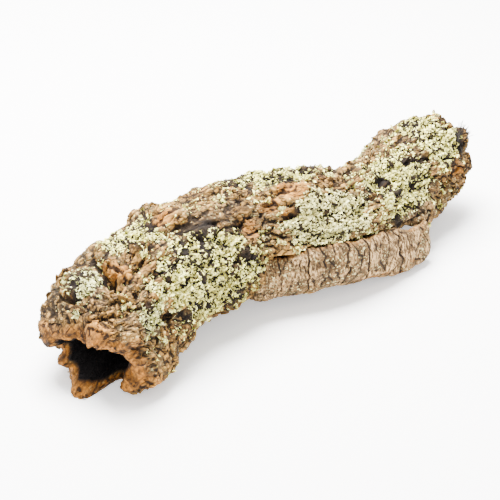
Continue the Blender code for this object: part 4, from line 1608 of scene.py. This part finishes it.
class TwigsOperator(bpy.types.Operator):
    """Makes the tuft of dark twigs at the far rim"""

    bl_idname = "cork_branch.twigs"
    bl_label = "Twigs"

    def execute(self, context):
        settings = context.scene.cork_branch_twigs
        tube = tube_of(context.scene.cork_branch_bark)
        sizes = (settings.twigs, settings.length, settings.radius)
        variants = [twig_spray(f"spray_{seed}", seed, *sizes) for seed in (1, 2)]
        growth = Growth("twig growth", variants, twig_finish(settings.colour))
        values = {"Density": settings.density, "Seed": settings.seed, **TWIG_SPREAD}
        bed = bed_for(tube, tube.cover(TUFT_PATCH), "bed_twigs")
        mesh = grown_mesh(growth, bed, values, "twig_tuft")
        finished("twig_tuft_sprays", mesh, "twigs", "twig_tuft")
        removed(variants)
        return {"FINISHED"}


class StageOperator(bpy.types.Operator):
    """Sets the floor, the lights and the camera"""

    bl_idname = "cork_branch.stage"
    bl_label = "Stage"

    def execute(self, context):
        settings = context.scene.cork_branch_stage
        shape = bmesh.new()
        bmesh.ops.create_grid(shape, x_segments=1, y_segments=1, size=FLOOR_HALF_WIDTH)
        mesh = bpy.data.meshes.new("floor")
        shape.to_mesh(mesh)
        shape.free()
        floor = shown("floor", mesh)
        finish = Finish("floor")
        mesh.materials.append(finish.finish((*settings.floor, 1.0), ROUGHNESS))
        finish.shader.inputs["Emission Color"].default_value = WHITE
        finish.shader.inputs["Emission Strength"].default_value = settings.floor_glow
        world = bpy.data.worlds.new("studio")
        world.use_nodes = True
        backdrop = world.node_tree.nodes["Background"]
        backdrop.inputs["Color"].default_value = WHITE
        backdrop.inputs["Strength"].default_value = settings.room_light
        context.scene.world = world
        add_softbox("overhead", OVERHEAD_AT, OVERHEAD_SIZE, settings.overhead_power)
        add_softbox("from_the_left", LEFT_LIGHT_AT, LEFT_LIGHT_SIZE, settings.left_power)
        add_camera(settings)
        return {"FINISHED"}


def aimed(obj, start, target):
    """Places a light or a camera at start, facing the target."""
    obj.location = start
    obj.rotation_mode = "QUATERNION"
    obj.rotation_quaternion = (Vector(target) - Vector(start)).to_track_quat("-Z", "Y")


def add_softbox(name, start, size, power):
    """A square light that faces the branch."""
    light = bpy.data.lights.new(name, "AREA")
    light.size = size
    light.energy = power
    box = bpy.data.objects.new(name, light)
    bpy.context.scene.collection.objects.link(box)
    aimed(box, start, (0, 0, 0))


def add_camera(settings):
    """The camera, looking at its point on the floor."""
    camera = bpy.data.objects.new("camera", bpy.data.cameras.new("camera"))
    bpy.context.scene.collection.objects.link(camera)
    camera.data.lens = settings.lens
    camera.data.sensor_width = SENSOR_WIDTH_MM
    level = math.cos(settings.elevation)
    back = Vector((
        math.sin(settings.azimuth) * level,
        -math.cos(settings.azimuth) * level,
        math.sin(settings.elevation),
    ))
    target = Vector(settings.look_at)
    aimed(camera, target + back * settings.distance, target)
    bpy.context.scene.camera = camera


class CorkBranchPanel(bpy.types.Panel):
    bl_idname = "VIEW3D_PT_cork_branch"
    bl_label = "Cork branch"
    bl_space_type = "VIEW_3D"
    bl_region_type = "UI"
    bl_category = "Cork branch"

    def draw(self, context):
        for group in (
            context.scene.cork_branch_bark,
            context.scene.cork_branch_lichen,
            context.scene.cork_branch_twigs,
            context.scene.cork_branch_stage,
        ):
            box = self.layout.box()
            for name in group.__annotations__:
                box.prop(group, name)
        for operator in OPERATORS:
            self.layout.operator(operator.bl_idname)


OPERATORS = (
    BarkOperator, StripOperator, FlakesOperator, LichenOperator, TwigsOperator, StageOperator
)
GROUPS = (CorkBranchBark, CorkBranchLichen, CorkBranchTwigs, CorkBranchStage)
CLASSES = (*GROUPS, *OPERATORS, CorkBranchPanel)


def register():
    for kind in CLASSES:
        bpy.utils.register_class(kind)
    bpy.types.Scene.cork_branch_bark = PointerProperty(type=CorkBranchBark)
    bpy.types.Scene.cork_branch_lichen = PointerProperty(type=CorkBranchLichen)
    bpy.types.Scene.cork_branch_twigs = PointerProperty(type=CorkBranchTwigs)
    bpy.types.Scene.cork_branch_stage = PointerProperty(type=CorkBranchStage)


def unregister():
    del bpy.types.Scene.cork_branch_bark
    del bpy.types.Scene.cork_branch_lichen
    del bpy.types.Scene.cork_branch_twigs
    del bpy.types.Scene.cork_branch_stage
    for kind in reversed(CLASSES):
        bpy.utils.unregister_class(kind)


def main():
    register()
    bpy.ops.cork_branch.bark()
    bpy.ops.cork_branch.strip()
    bpy.ops.cork_branch.flakes()
    bpy.ops.cork_branch.lichen()
    bpy.ops.cork_branch.twigs()
    bpy.ops.cork_branch.stage()


if __name__ == "__main__":
    main()
